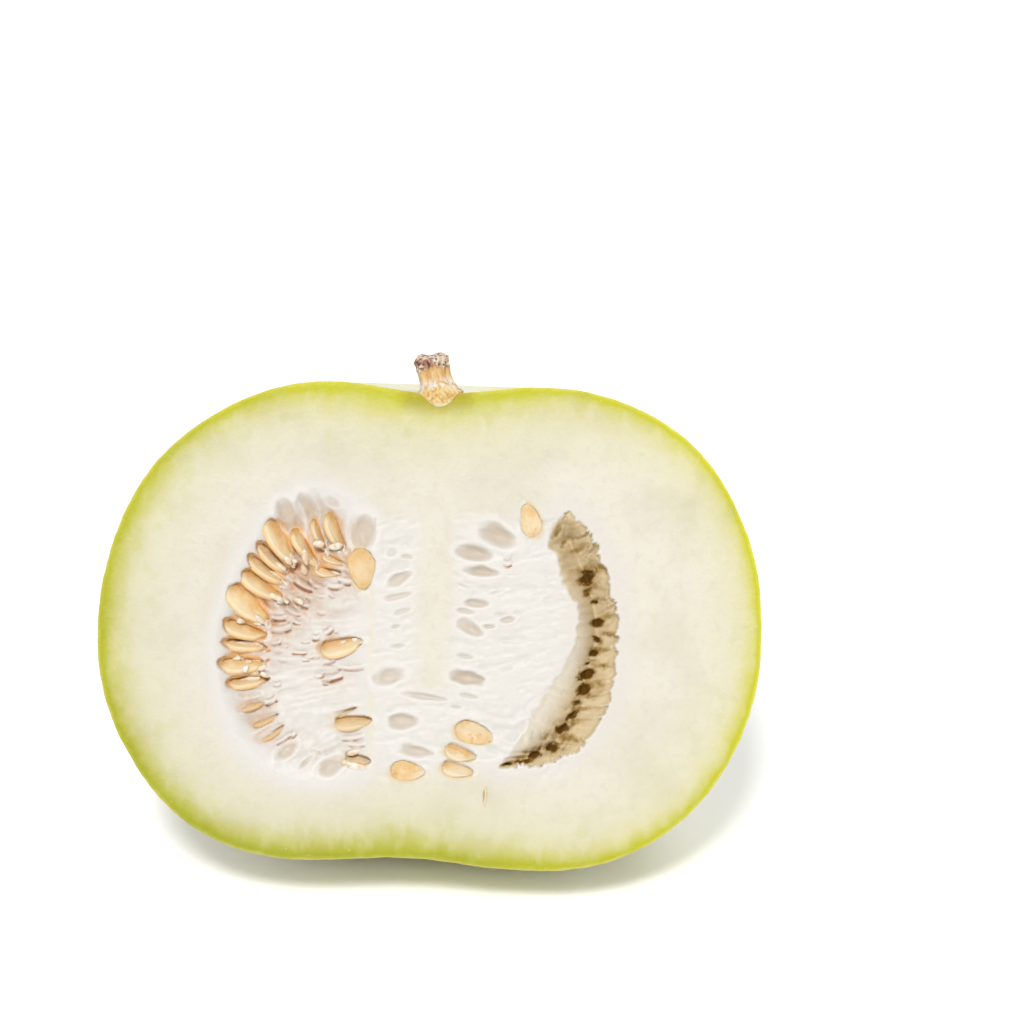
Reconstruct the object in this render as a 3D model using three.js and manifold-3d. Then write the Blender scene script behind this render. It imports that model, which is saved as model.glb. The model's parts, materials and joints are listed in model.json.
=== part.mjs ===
// Half of a small round winter melon (wax gourd), cut lengthwise through its stem end. It leans
// back on its rind, so that the cut face looks forwards and a little up.
//
// Melon frame, in millimetres: X to the right across the cut face, Y from the cut face into the
// fruit, Z up along the cut face, with the origin in the middle of the cut face.
import * as THREE from "three";
import { mergeVertices } from "three/addons/utils/BufferGeometryUtils.js";
import Module from "manifold-3d";

const wasm = await Module();
wasm.setup();

const { degToRad } = THREE.MathUtils;

const leanBack = degToRad(25);
const restingSpotDepth = 2; // how far the rind is flattened where the fruit rests
const fitGap = 0.35; // clearance between the flesh and what sits in it

// The fruit turned about its stem axis: a superellipse, squarer on top than below, with a dimple
// at the stem and a wider one at the blossom end.
const fruit = {
  radius: 85.7,
  heightAbove: 70.3,
  heightBelow: 70.9,
  squarenessAbove: 2.39, // 2 is a plain ellipse
  squarenessBelow: 2.09,
  stemDimple: { depth: 7.3, reach: 26.3 },
  blossomDimple: { depth: 13.7, reach: 41.9 },
  axisRoll: degToRad(1.7), // of the stem axis, clockwise in the cut face
  centre: [0.4, 0, -2.9],
  outlineSteps: 36,
  turnSteps: 88,
};

// The seed chamber on the left: a shallow hollow in the cut face, where the seeds show.
const chamber = {
  outline: [
    [-49, 21], [-54, 8], [-55, -8], [-52, -23], [-45, -33.5], [-34, -39.5], [-22, -39],
    [-14.5, -34], [-14, -20], [-14.5, -6], [-13, 10], [-13.5, 23], [-20, 32], [-30, 35.5], [-41, 31],
  ], // anticlockwise
  floorShrink: 0.12, // how much smaller the floor is than the mouth
  depth: 4.5,
  outlineSteps: 42,
};

// The gap on the right, where the seed pulp has shrunk away from the flesh: a crescent, with
// sides that close in on a line of cells at its bottom.
const gap = {
  outerEdge: [
    [36.5, 30.5], [42.5, 23.5], [46.5, 13], [49, 2], [48.5, -10], [47, -20], [42.5, -28],
    [35.5, -34], [27, -36], [18.5, -36.2],
  ],
  innerEdge: [
    [36, 30], [32, 25.5], [32.5, 18], [34.5, 10], [38.3, 3], [37.3, -6.5], [31.8, -14.5],
    [27.5, -22], [23.5, -29], [18, -35.8],
  ],
  bottomLine: [
    [36.3, 28.5], [38.5, 20], [41.8, 9], [44, -2], [42, -12], [38.5, -20.5], [34, -28.5],
    [28.5, -33], [20.5, -35.6],
  ],
  bottomClosing: 0.84, // how far the sides have met at the bottom
  depth: 20,
  edgeSteps: 16,
};

const stem = {
  foot: [2.4, 3.6, 57.2], // where its axis leaves the flesh
  lean: degToRad(-9), // to the left, going up
  height: 13.4,
  // its outline, as [radius, height above the foot], from its root in the flesh to the dry tip
  outline: [
    [0, -1.6], [3.6, -0.9], [5.6, 1.4], [6.2, 3.4], [4.9, 4.9], [4.4, 7], [4.3, 9], [4.6, 11],
    [4.4, 12.6], [3.4, 13.4], [0, 13.1],
  ],
  ribs: 5,
  ribHeight: 0.07, // as a share of the radius
  turnSteps: 20,
};

// A full-grown seed: flat and egg-shaped, pointed at the end that held on to the pulp.
const seed = {
  length: 13.2,
  width: 7.8,
  thickness: 2,
  taper: 0.28, // how much narrower the pointed half is
  aroundSteps: 10,
  lengthSteps: 7,
};

// Every seed that shows: its centre; turn, the direction its pointed end has in the cut face,
// from +X towards +Z; tilt, how far that end dips into the fruit; roll, how far its upper edge
// dips, from 0 for flat against the cut to 90 for edge-on; and size, against a full seed.
const seeds = [
  // the fan along the chamber's upper left wall
  { at: [-38.7, 3.4, 22.5], turn: -62, tilt: 6, roll: 50, size: 1.04 },
  { at: [-40.6, 5.8, 17.8], turn: -46, tilt: 8, roll: 60, size: 0.96 },
  { at: [-42.2, 5.4, 14.6], turn: -38, tilt: 5, roll: 60, size: 0.98 },
  { at: [-43.4, 4.2, 10.8], turn: -36, tilt: 5, roll: 52, size: 1.04 },
  { at: [-46.9, 3.2, 6], turn: -44, tilt: 6, roll: 34, size: 1.08 },
  { at: [-47.9, 5, -0.6], turn: -18, tilt: 4, roll: 52, size: 1 },
  { at: [-47.9, 6, -4.7], turn: -8, tilt: 3, roll: 62, size: 0.96 },
  { at: [-48.7, 4.6, -9.7], turn: 0, tilt: 4, roll: 50, size: 1 },
  { at: [-47.2, 5.6, -14.2], turn: 6, tilt: 3, roll: 62, size: 0.92 },
  // the ones deeper down the chamber's lower left wall
  { at: [-46.2, 4, -20.6], turn: 14, tilt: 0, roll: 64, size: 0.62 },
  { at: [-42.2, 4.2, -24], turn: 24, tilt: 4, roll: 64, size: 0.7 },
  { at: [-41, 4.4, -27.4], turn: 30, tilt: 4, roll: 60, size: 0.78 },
  // the upper middle of the chamber
  { at: [-32.2, 5, 20.6], turn: -58, tilt: 6, roll: 54, size: 0.86 },
  { at: [-28.4, 4.4, 23.6], turn: -68, tilt: 6, roll: 64, size: 0.7 },
  { at: [-23.9, 3.6, 24.2], turn: -68, tilt: 6, roll: 50, size: 0.86 },
  { at: [-24.8, 4.4, 17.4], turn: -24, tilt: 0, roll: 50, size: 0.5 },
  { at: [-26.4, 5.6, 14.4], turn: -10, tilt: 0, roll: 46, size: 0.6 },
  { at: [-17.2, 2.2, 14.8], turn: -86, tilt: 4, roll: 8, size: 0.9 },
  // the lower middle and right of the chamber
  { at: [-22.8, 2.6, -4.8], turn: 12, tilt: -4, roll: 44, size: 0.94 },
  { at: [-22, 4.4, -21.9], turn: 16, tilt: 2, roll: 62, size: 0.66 },
  { at: [-19.6, 3, -24.6], turn: 4, tilt: 2, roll: 46, size: 0.82 },
  { at: [-18.4, 3.2, -34.4], turn: -12, tilt: 4, roll: 34, size: 0.58 },
  // the ones in the pulp below the core and beside the gap
  { at: [-5.4, 0.9, -37.4], turn: -6, tilt: 3, roll: 18, size: 0.7 },
  { at: [12, 1.1, -27.6], turn: -18, tilt: 3, roll: 24, size: 0.8 },
  { at: [8.3, 1.8, -32.7], turn: -20, tilt: 3, roll: 34, size: 0.68 },
  { at: [7.6, 1.7, -37], turn: -14, tilt: 3, roll: 34, size: 0.68 },
  { at: [14.6, 1.2, -44.2], turn: 84, tilt: 0, roll: 76, size: 0.46 },
  { at: [26.3, 0.9, 27.7], turn: 104, tilt: 4, roll: 8, size: 0.7 },
];

function finish(color, roughness) {
  return new THREE.MeshStandardMaterial({ color, roughness, metalness: 0 });
}

const fleshFinish = finish(0xe8ebcf, 0.5);
const stemFinish = finish(0xa87c3c, 0.85);
const seedFinish = finish(0xe6c48c, 0.5);

// A closed geometry as a solid: shared corners merged, and faces without area left out.
function solidOf(geometry, matrix = new THREE.Matrix4()) {
  const placed = geometry.clone().applyMatrix4(matrix);
  placed.deleteAttribute("normal");
  placed.deleteAttribute("uv");
  const merged = mergeVertices(placed, 1e-4);
  const corners = merged.index.array;
  const triVerts = [];
  for (let i = 0; i < corners.length; i += 3) {
    const [a, b, c] = corners.slice(i, i + 3);
    if (a !== b && b !== c && c !== a) triVerts.push(a, b, c);
  }
  const vertProperties = merged.attributes.position.array;
  const mesh = { numProp: 3, vertProperties, triVerts: new Uint32Array(triVerts) };
  return new wasm.Manifold(new wasm.Mesh(mesh));
}

function geometryOf(solid) {
  const { vertProperties, triVerts } = solid.getMesh();
  const geometry = new THREE.BufferGeometry();
  geometry.setAttribute("position", new THREE.BufferAttribute(vertProperties, 3));
  geometry.setIndex(new THREE.BufferAttribute(triVerts, 1));
  geometry.computeVertexNormals();
  return geometry;
}

// A lathe turned about Z instead of Y, from an outline of [radius, height] that runs upwards.
function latheAboutZ(outline, turnSteps) {
  const points = outline.map(([radius, height]) => new THREE.Vector2(radius, height));
  return new THREE.LatheGeometry(points, turnSteps).rotateX(Math.PI / 2);
}

// Half the fruit's outline, from the blossom end up to the stem end.
function fruitOutline() {
  const outline = [];
  for (let step = 0; step <= fruit.outlineSteps; step++) {
    const angle = (step / fruit.outlineSteps - 0.5) * Math.PI;
    const above = angle > 0;
    const power = 2 / (above ? fruit.squarenessAbove : fruit.squarenessBelow);
    const atPole = step === 0 || step === fruit.outlineSteps;
    const radius = atPole ? 0 : fruit.radius * Math.cos(angle) ** power;
    const rise = Math.abs(Math.sin(angle)) ** power;
    const dimple = above ? fruit.stemDimple : fruit.blossomDimple;
    const dip = dimple.depth * Math.exp(-((radius / dimple.reach) ** 2));
    const height = above ? fruit.heightAbove * rise - dip : dip - fruit.heightBelow * rise;
    outline.push([radius, height]);
  }
  return outline;
}

function boxBetween(low, high) {
  const size = high.map((value, axis) => value - low[axis]);
  const centre = high.map((value, axis) => (value + low[axis]) / 2);
  return new THREE.BoxGeometry(...size).translate(...centre);
}

// The space behind the cut face, which is the plane Y = 0.
const behindCut = solidOf(boxBetween([-120, 0, -120], [120, 120, 120]));

// A closed body through rings of as many points each, one behind the other, with a flat lid on
// the first and the last. Seen from the front, every ring runs anticlockwise.
function bodyThroughRings(rings) {
  const count = rings[0].length;
  const faces = [];
  for (let ring = 0; ring + 1 < rings.length; ring++) {
    for (let i = 0; i < count; i++) {
      const a = ring * count + i;
      const b = ring * count + ((i + 1) % count);
      faces.push(a, b + count, b, a, a + count, b + count);
    }
  }
  const contour = rings[0].map(([x, , z]) => new THREE.Vector2(x, z));
  const last = (rings.length - 1) * count;
  for (const [a, b, c] of THREE.ShapeUtils.triangulateShape(contour, [])) {
    faces.push(a, b, c);
    faces.push(last + c, last + b, last + a);
  }
  const geometry = new THREE.BufferGeometry();
  geometry.setAttribute("position", new THREE.Float32BufferAttribute(rings.flat(2), 3));
  geometry.setIndex(faces);
  return geometry;
}

function curveThrough(points, closed = false) {
  const corners = points.map(([x, z]) => new THREE.Vector3(x, 0, z));
  return new THREE.CatmullRomCurve3(corners, closed, "centripetal");
}

const mouthHeight = 2; // how far a cutting body stands out of the cut face

function chamberBody() {
  const mouth = curveThrough(chamber.outline, true).getSpacedPoints(chamber.outlineSteps).slice(1);
  const middle = new THREE.Vector3();
  for (const point of mouth) middle.addScaledVector(point, 1 / mouth.length);
  const ringAt = (depth, shrink) =>
    mouth.map((point) => {
      const { x, z } = point.clone().lerp(middle, shrink);
      return [x, depth, z];
    });
  return bodyThroughRings([
    ringAt(-mouthHeight, 0),
    ringAt(0, 0),
    ringAt(chamber.depth, chamber.floorShrink),
  ]);
}

function gapBody() {
  const edges = [gap.innerEdge, [...gap.outerEdge].reverse()];
  const bottoms = [gap.bottomLine, [...gap.bottomLine].reverse()];
  const pointsAlong = (line) => curveThrough(line).getSpacedPoints(gap.edgeSteps);
  const mouth = edges.flatMap(pointsAlong);
  const bottom = bottoms.flatMap(pointsAlong);
  const ringAt = (depth, closing) =>
    mouth.map((point, i) => {
      const { x, z } = point.clone().lerp(bottom[i], closing);
      return [x, depth, z];
    });
  return bodyThroughRings([
    ringAt(-mouthHeight, 0),
    ringAt(0, 0),
    ringAt(gap.depth, gap.bottomClosing),
  ]);
}

// The stem stub with its ribs, grown by a margin all round where the flesh makes room for it.
function stemBody(margin = 0) {
  const outline = stem.outline.map(([radius, height], i) => {
    const atRoot = i === 0;
    return [radius > 0 ? radius + margin : 0, atRoot ? height - margin : height];
  });
  const geometry = latheAboutZ(outline, stem.turnSteps);
  const position = geometry.attributes.position;
  for (let i = 0; i < position.count; i++) {
    const [x, y] = [position.getX(i), position.getY(i)];
    const rib = 1 + stem.ribHeight * Math.cos(stem.ribs * Math.atan2(y, x));
    position.setXY(i, x * rib, y * rib);
  }
  return geometry.rotateY(stem.lean).translate(...stem.foot);
}

// A seed lying along X with its point at +X and its flat sides facing along Y.
function seedBody(size, margin = 0) {
  const geometry = new THREE.SphereGeometry(1, seed.aroundSteps, seed.lengthSteps);
  geometry.rotateZ(-Math.PI / 2);
  const position = geometry.attributes.position;
  for (let i = 0; i < position.count; i++) {
    const along = position.getX(i);
    const narrowing = 1 - seed.taper * along;
    position.setXYZ(
      i,
      along * ((seed.length * size) / 2 + margin),
      position.getY(i) * ((seed.thickness * size) / 2 + margin),
      position.getZ(i) * ((seed.width * size * narrowing) / 2 + margin),
    );
  }
  return geometry;
}

function seedPlace({ at, turn, tilt, roll }) {
  const rotation = new THREE.Euler(-degToRad(roll), -degToRad(turn), degToRad(tilt), "YZX");
  const matrix = new THREE.Matrix4().makeRotationFromEuler(rotation);
  return matrix.setPosition(...at);
}

// The lowest point of a geometry once the fruit leans back.
function lowestWhenLeaning(geometry) {
  const leaning = geometry.clone().rotateX(-leanBack);
  leaning.computeBoundingBox();
  return leaning.boundingBox.min.z;
}

function melonHalf() {
  const turned = latheAboutZ(fruitOutline(), fruit.turnSteps);
  turned.rotateY(fruit.axisRoll).translate(...fruit.centre);
  let half = solidOf(turned).intersect(behindCut);
  const rest = lowestWhenLeaning(geometryOf(half)) + restingSpotDepth;
  const ground = boxBetween([-120, -120, rest - 20], [120, 120, rest]).rotateX(leanBack);
  half = half.subtract(solidOf(ground));
  half = half.subtract(solidOf(chamberBody()));
  half = half.subtract(solidOf(gapBody()));
  half = half.subtract(solidOf(stemBody(fitGap)));
  for (const entry of seeds) {
    half = half.subtract(solidOf(seedBody(entry.size, fitGap), seedPlace(entry)));
  }
  return geometryOf(half);
}

function stemStub() {
  return geometryOf(solidOf(stemBody()).intersect(behindCut));
}

const melon = new THREE.Group();

function addPiece(name, geometry, material) {
  const piece = new THREE.Mesh(geometry, material);
  piece.name = name;
  melon.add(piece);
  return piece;
}

addPiece("melon_half", melonHalf(), fleshFinish);
addPiece("stem_stub", stemStub(), stemFinish);
seeds.forEach((entry, i) => {
  const name = `seed_${String(i + 1).padStart(2, "0")}`;
  const piece = addPiece(name, geometryOf(solidOf(seedBody(entry.size))), seedFinish);
  piece.applyMatrix4(seedPlace(entry));
});

// Leaned back, the half stands on its resting spot, with the middle of its footprint at the origin.
melon.rotation.x = -leanBack;
const half = new THREE.Group();
half.add(melon);
const bounds = new THREE.Box3().setFromObject(half, true);
const centre = bounds.getCenter(new THREE.Vector3());
melon.position.set(-centre.x, -centre.y, -bounds.min.z);

export default half;
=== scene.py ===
import json
import math
import bpy
import numpy as np
from mathutils import Matrix, Vector


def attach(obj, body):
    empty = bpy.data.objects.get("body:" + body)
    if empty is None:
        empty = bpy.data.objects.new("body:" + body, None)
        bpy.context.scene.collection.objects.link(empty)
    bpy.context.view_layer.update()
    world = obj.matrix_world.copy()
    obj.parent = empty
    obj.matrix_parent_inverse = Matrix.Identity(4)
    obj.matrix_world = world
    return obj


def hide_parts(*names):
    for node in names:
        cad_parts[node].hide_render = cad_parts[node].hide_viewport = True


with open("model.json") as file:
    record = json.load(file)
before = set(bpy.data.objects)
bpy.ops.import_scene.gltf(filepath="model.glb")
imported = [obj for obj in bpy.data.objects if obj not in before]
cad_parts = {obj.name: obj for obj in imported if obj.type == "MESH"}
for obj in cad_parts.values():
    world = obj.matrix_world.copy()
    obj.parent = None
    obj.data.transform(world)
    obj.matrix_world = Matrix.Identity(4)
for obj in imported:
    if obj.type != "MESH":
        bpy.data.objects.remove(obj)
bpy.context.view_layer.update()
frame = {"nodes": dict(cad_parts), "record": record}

mm = 0.001

# The melon's own axes, in mm: x right across the cut, y into the fruit, z up the cut face.
# The cut_face mount lies on the cut, straight above their origin.
cutMount = next(m for m in frame["record"]["mounts"] if m["name"] == "cut_face")
cutMountHeight = 47
outward = Vector(cutMount["axis"]).normalized()
acrossCut = Vector((1, 0, 0))
upCut = outward.cross(acrossCut).normalized()
melonOrigin = np.array(Vector(cutMount["pos_m"]) - upCut * cutMountHeight * mm)
melonAxes = np.array([acrossCut, -outward, upCut])


def toWorld(points):
    return melonOrigin + (np.asarray(points, float) * mm) @ melonAxes


def toMelon(points):
    return (np.asarray(points, float) - melonOrigin) @ melonAxes.T / mm

# shapes

def smoothStep(low, high, value):
    t = np.clip((value - low) / (high - low), 0, 1)
    return t * t * (3 - 2 * t)


def latticeValue(x, y, z, seed):  # from -1 to 1, scattered by the large numbers, the same each time
    h = (x * 73856093) ^ (y * 19349663) ^ (z * 83492791) ^ (seed * 668265263)
    h = (h ^ (h >> 13)) * 1274126177
    return ((h ^ (h >> 16)) & 0xFFFFFF) / 0x7FFFFF - 1


def grain(points, seed=0):  # smooth noise from -1 to 1, its cells one unit wide
    cell = np.floor(points).astype(np.int64)
    f = points - cell
    f = f * f * (3 - 2 * f)
    total = 0
    for corner in range(8):
        step = [corner & 1, corner >> 1 & 1, corner >> 2 & 1]
        weight = 1
        for axis in range(3):
            weight = weight * (f[:, axis] if step[axis] else 1 - f[:, axis])
        total = total + weight * latticeValue(*(cell[:, a] + step[a] for a in range(3)), seed)
    return total


def layeredGrain(points, layers=3, seed=0):
    total = sum(grain(points * 2 ** k, seed + k) / 2 ** k for k in range(layers))
    return total / (2 - 0.5 ** (layers - 1))


def onSheet(a, b, size=1.0, level=0.0):  # places for grain() that vary over two lengths
    return np.stack([a / size, b / size, np.full_like(a, level)], axis=-1)


def hump(value, middle, width):  # 1 at its middle, fading smoothly on both sides
    return np.exp(-((value - middle) / width) ** 2)


def turned(dx, dz, slope):  # how far along and across a line of that slope, in degrees
    c, s = math.cos(math.radians(slope)), math.sin(math.radians(slope))
    return dx * c + dz * s, dz * c - dx * s


def smoothCurve(points, count, closed=False):  # Catmull-Rom through given points
    if closed:
        return smoothCurve(points + points[:1], count)[:-1]
    p = np.array(points, float)
    p = np.vstack([2 * p[0] - p[1], p, 2 * p[-1] - p[-2]])
    t = np.linspace(0, len(points) - 1, count)
    i = np.minimum(t.astype(int), len(points) - 2)
    t = (t - i)[:, None]
    a, b, c, d = p[i], p[i + 1], p[i + 2], p[i + 3]
    squared, cubed = 2 * a - 5 * b + 4 * c - d, 3 * b - a - 3 * c + d
    return 0.5 * (2 * b + (c - a) * t + squared * t ** 2 + cubed * t ** 3)


def spread(x, z, samples):  # samples (x, z, value...) blended by nearness
    total, weights = 0, 0
    for sampleX, sampleZ, *values in samples:
        weight = 1 / ((x - sampleX) ** 2 + (z - sampleZ) ** 2 + 1) ** 2
        total = total + weight[:, None] * np.array(values, float)
        weights = weights + weight
    return total / weights[:, None]


# Distance to an open or closed line, and whether each point is inside the closed one
def lineDistance(x, z, line, closed=False):
    nearest = np.full(x.shape, 1e9)
    inside = np.zeros(x.shape, bool)
    ends = np.roll(line, -1, axis=0) if closed else line[1:]
    for (ax, az), (bx, bz) in zip(line, ends):
        dx, dz = bx - ax, bz - az
        t = np.clip(((x - ax) * dx + (z - az) * dz) / (dx * dx + dz * dz), 0, 1)
        nearest = np.minimum(nearest, np.hypot(x - ax - t * dx, z - az - t * dz))
        if dz:
            inside ^= ((az > z) != (bz > z)) & (x < ax + (z - az) * dx / dz)
    return nearest, inside


def insideDistance(x, z, outline):  # positive inside a closed outline, negative outside
    nearest, inside = lineDistance(x, z, outline, closed=True)
    return np.where(inside, nearest, -nearest)


class MeshBuilder:
    def __init__(self):
        self.points, self.faces, self.kinds, self.count = [], [], [], 0
        self.values = {}

    def add(self, points, **values):
        points = np.asarray(points, float)
        indices = self.count + np.arange(len(points))
        self.points.append(points)
        self.count += len(points)
        for name, value in values.items():
            self.values.setdefault(name, []).append((indices, value))
        return indices

    def face(self, faces, kind=0):
        self.faces.extend(faces)
        self.kinds.extend([kind] * len(faces))

    def sheet(self, indices, kind=0, wrap=False, flip=False):  # a grid of points, row by row
        after = np.roll(indices, -1, axis=1) if wrap else indices[:, 1:]
        here = indices if wrap else indices[:, :-1]
        corners = [here[:-1], after[:-1], after[1:], here[1:]]
        if flip:
            corners.reverse()
        self.face([tuple(q) for q in np.stack(corners, -1).reshape(-1, 4).tolist()], kind)

    # Joins an inner loop to an outer one of another count; their angles run upwards over one turn
    def zip(self, inner, innerTurns, outer, outerTurns, kind=0):
        a, b, faces = 0, 0, []
        nextA = np.append(innerTurns[1:], innerTurns[0] + 2 * math.pi)
        nextB = np.append(outerTurns[1:], outerTurns[0] + 2 * math.pi)
        inner, outer = [int(i) for i in inner], [int(i) for i in outer]
        while a < len(inner) or b < len(outer):
            cornerA, cornerB = inner[a % len(inner)], outer[b % len(outer)]
            if b >= len(outer) or (a < len(inner) and nextA[a] <= nextB[b]):
                a += 1
                faces.append((cornerA, cornerB, inner[a % len(inner)]))
            else:
                b += 1
                faces.append((cornerA, cornerB, outer[b % len(outer)]))
        self.face(faces, kind)

    def fan(self, loop, tip, kind=0, flip=False):
        loop = [int(i) for i in loop]
        pairs = zip(loop, loop[1:] + loop[:1])
        self.face([(a, int(tip), b) if flip else (a, b, int(tip)) for a, b in pairs], kind)

    def mesh(self, name, place=toWorld):
        mesh = bpy.data.meshes.new(name)
        mesh.from_pydata(place(np.concatenate(self.points)).tolist(), [], self.faces)
        mesh.polygons.foreach_set("material_index", self.kinds)
        mesh.polygons.foreach_set("use_smooth", [True] * len(self.faces))
        for attribute, pieces in self.values.items():
            filled = np.zeros(self.count, np.float32)
            for indices, value in pieces:
                filled[indices] = value
            mesh.attributes.new(attribute, "FLOAT", "POINT").data.foreach_set("value", filled)
        mesh.update()
        return mesh


def addPiece(name, mesh, materials, replaced=()):
    piece = bpy.data.objects.new(name, mesh)
    bpy.context.scene.collection.objects.link(piece)
    for material in materials:
        mesh.materials.append(material)
    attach(piece, "root")
    if replaced:
        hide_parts(*replaced)

# finishes

# A socket that Python's operators work on: each operation adds its Math node
class Wire:
    def __init__(self, finish, socket):
        self.finish, self.socket = finish, socket

    def math(self, operation, *values):
        return self.finish.node("Math", {"operation": operation}, dict(enumerate((self, *values))))

    def __add__(self, other):
        return self.math("ADD", other)

    def __sub__(self, other):
        return self.math("SUBTRACT", other)

    def __rsub__(self, other):
        return self.math("MULTIPLY_ADD", -1.0, other)

    def __mul__(self, other):
        return self.math("MULTIPLY", other)

    __radd__ = __add__
    __rmul__ = __mul__

    def between(self, low, high):  # 0 below low, 1 above high
        sockets = {0: self, 1: low, 2: high}
        return self.finish.node("MapRange", {"interpolation_type": "SMOOTHSTEP"}, sockets)


lightLevel = 0.6  # how much darker a colour is set for the strength of this light


def shade(red, green, blue):  # a colour as it should look, 0 to 255, in Blender's linear numbers
    return tuple(lightLevel * ((c / 255 + 0.055) / 1.055) ** 2.4 for c in (red, green, blue))


class Finish:
    def __init__(self, name, **fixed):
        self.material = bpy.data.materials.new(name)
        self.material.use_nodes = True
        self.tree = self.material.node_tree
        self.surface = self.tree.nodes["Principled BSDF"]
        self.place = self.node("TexCoord", {}, {}, "Object")
        self.paint(**fixed)

    def plug(self, socket, value):
        if isinstance(value, Wire):
            self.tree.links.new(value.socket, socket)
        elif isinstance(value, tuple) and socket.type == "RGBA":
            socket.default_value = (*value, 1)
        else:
            socket.default_value = value

    def node(self, kind, settings, sockets, output=0):
        node = self.tree.nodes.new("ShaderNode" + kind)
        stops = settings.get("stops", ())
        for name, value in settings.items():
            if name != "stops":
                setattr(node, name, value)
        for i, (position, colour) in enumerate(stops):
            ramp = node.color_ramp.elements
            stop = ramp[i] if i < 2 else ramp.new(position)
            stop.position, stop.color = position, (*colour, 1)
        for name, value in sockets.items():
            self.plug(node.inputs[name], value)
        return Wire(self, node.outputs[output])

    def stretch(self, scale):
        return self.node("Mapping", {}, {"Vector": self.place, "Scale": scale})

    def noise(self, scale, detail, place=None, distortion=0.0):
        sockets = {"Vector": place or self.place, "Scale": scale, "Detail": detail}
        return self.node("TexNoise", {}, {**sockets, "Distortion": distortion}, "Fac")

    def cells(self, scale):
        return self.node("TexVoronoi", {}, {"Vector": self.place, "Scale": scale}, "Distance")

    def mask(self, name):
        return self.node("Attribute", {"attribute_name": name}, {}, "Fac")

    def mix(self, factor, a, b, blend="MIX"):
        settings = {"data_type": "RGBA", "blend_type": blend}
        return self.node("Mix", settings, {0: factor, 6: a, 7: b}, 2)

    def coats(self, colour, *coats):  # each one: how much of it, and its shade
        for amount, tint in coats:
            colour = self.mix(amount, colour, shade(*tint))
        return colour

    def ramp(self, value, stops):  # each stop: its position and its shade
        settings = {"stops": [(position, shade(*tint)) for position, *tint in stops]}
        return self.node("ValToRGB", settings, {0: value}, "Color")

    def bump(self, height, strength, distance):
        sockets = {"Height": height, "Strength": strength, "Distance": distance}
        return self.node("Bump", {}, sockets, "Normal")

    def paint(self, **sockets):
        for name, value in sockets.items():
            self.plug(self.surface.inputs[name.replace("_", " ")], value)
        return self.material

# camera, floor and light

camera = {
    "lens": 160.0,
    "aim": (21.7, 0, 29.8),   # on the cut face, in mm
    "viewWidth": 265.6,       # what the view takes in there, in mm
    "elevation": 26.0,
    "sensorWidth": 36,
    "clipEnd": 20,
}
studio = {
    "floorSize": 12.0,
    "floorColour": (0.95, 0.95, 0.95),
    "skyStrength": 0.62,
    "lamps": [  # towards the light, strength, softness in degrees
        ((-0.12, -0.9, 1.0), 2.85, 12),
        ((0.45, 0.6, 1.2), 0.7, 30),
    ],
}


def lookFrom(holder, place, aim):
    turn = (aim - place).to_track_quat("-Z", "Y").to_matrix().to_4x4()
    holder.matrix_world = Matrix.Translation(place) @ turn
    bpy.context.scene.collection.objects.link(holder)


def makeStudio():
    scene = bpy.context.scene
    data = bpy.data.cameras.new("camera")
    data.lens, data.sensor_width = camera["lens"], camera["sensorWidth"]
    data.clip_end = camera["clipEnd"]
    scene.camera = bpy.data.objects.new("camera", data)
    aim = Vector(toWorld(camera["aim"]))
    lift = math.radians(camera["elevation"])
    distance = camera["viewWidth"] * mm * data.lens / data.sensor_width
    lookFrom(scene.camera, aim + Vector((0, -math.cos(lift), math.sin(lift))) * distance, aim)

    bpy.ops.mesh.primitive_plane_add(size=studio["floorSize"])
    floor = bpy.context.object
    floor.name = "floor"
    pale = Finish("pale floor", Roughness=0.6, Base_Color=studio["floorColour"])
    floor.data.materials.append(pale.material)

    scene.world = bpy.data.worlds.new("studio")
    scene.world.use_nodes = True
    sky = scene.world.node_tree.nodes["Background"].inputs
    sky["Color"].default_value = (1, 1, 1, 1)
    sky["Strength"].default_value = studio["skyStrength"]
    for towards, strength, softness in studio["lamps"]:
        lamp = bpy.data.lights.new("soft light", "SUN")
        lamp.energy, lamp.angle = strength, math.radians(softness)
        lookFrom(bpy.data.objects.new("soft light", lamp), Vector(towards), Vector((0, 0, 0)))
    scene.view_settings.view_transform = "Standard"

# where the seeds lie, from the solids

seedTaper = 0.28
seedTip = 0.84      # where the pulp that still clings to the pointed end begins
steepFrom = 0.5     # a seed that tilts more than this, in radians, stands on edge


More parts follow.
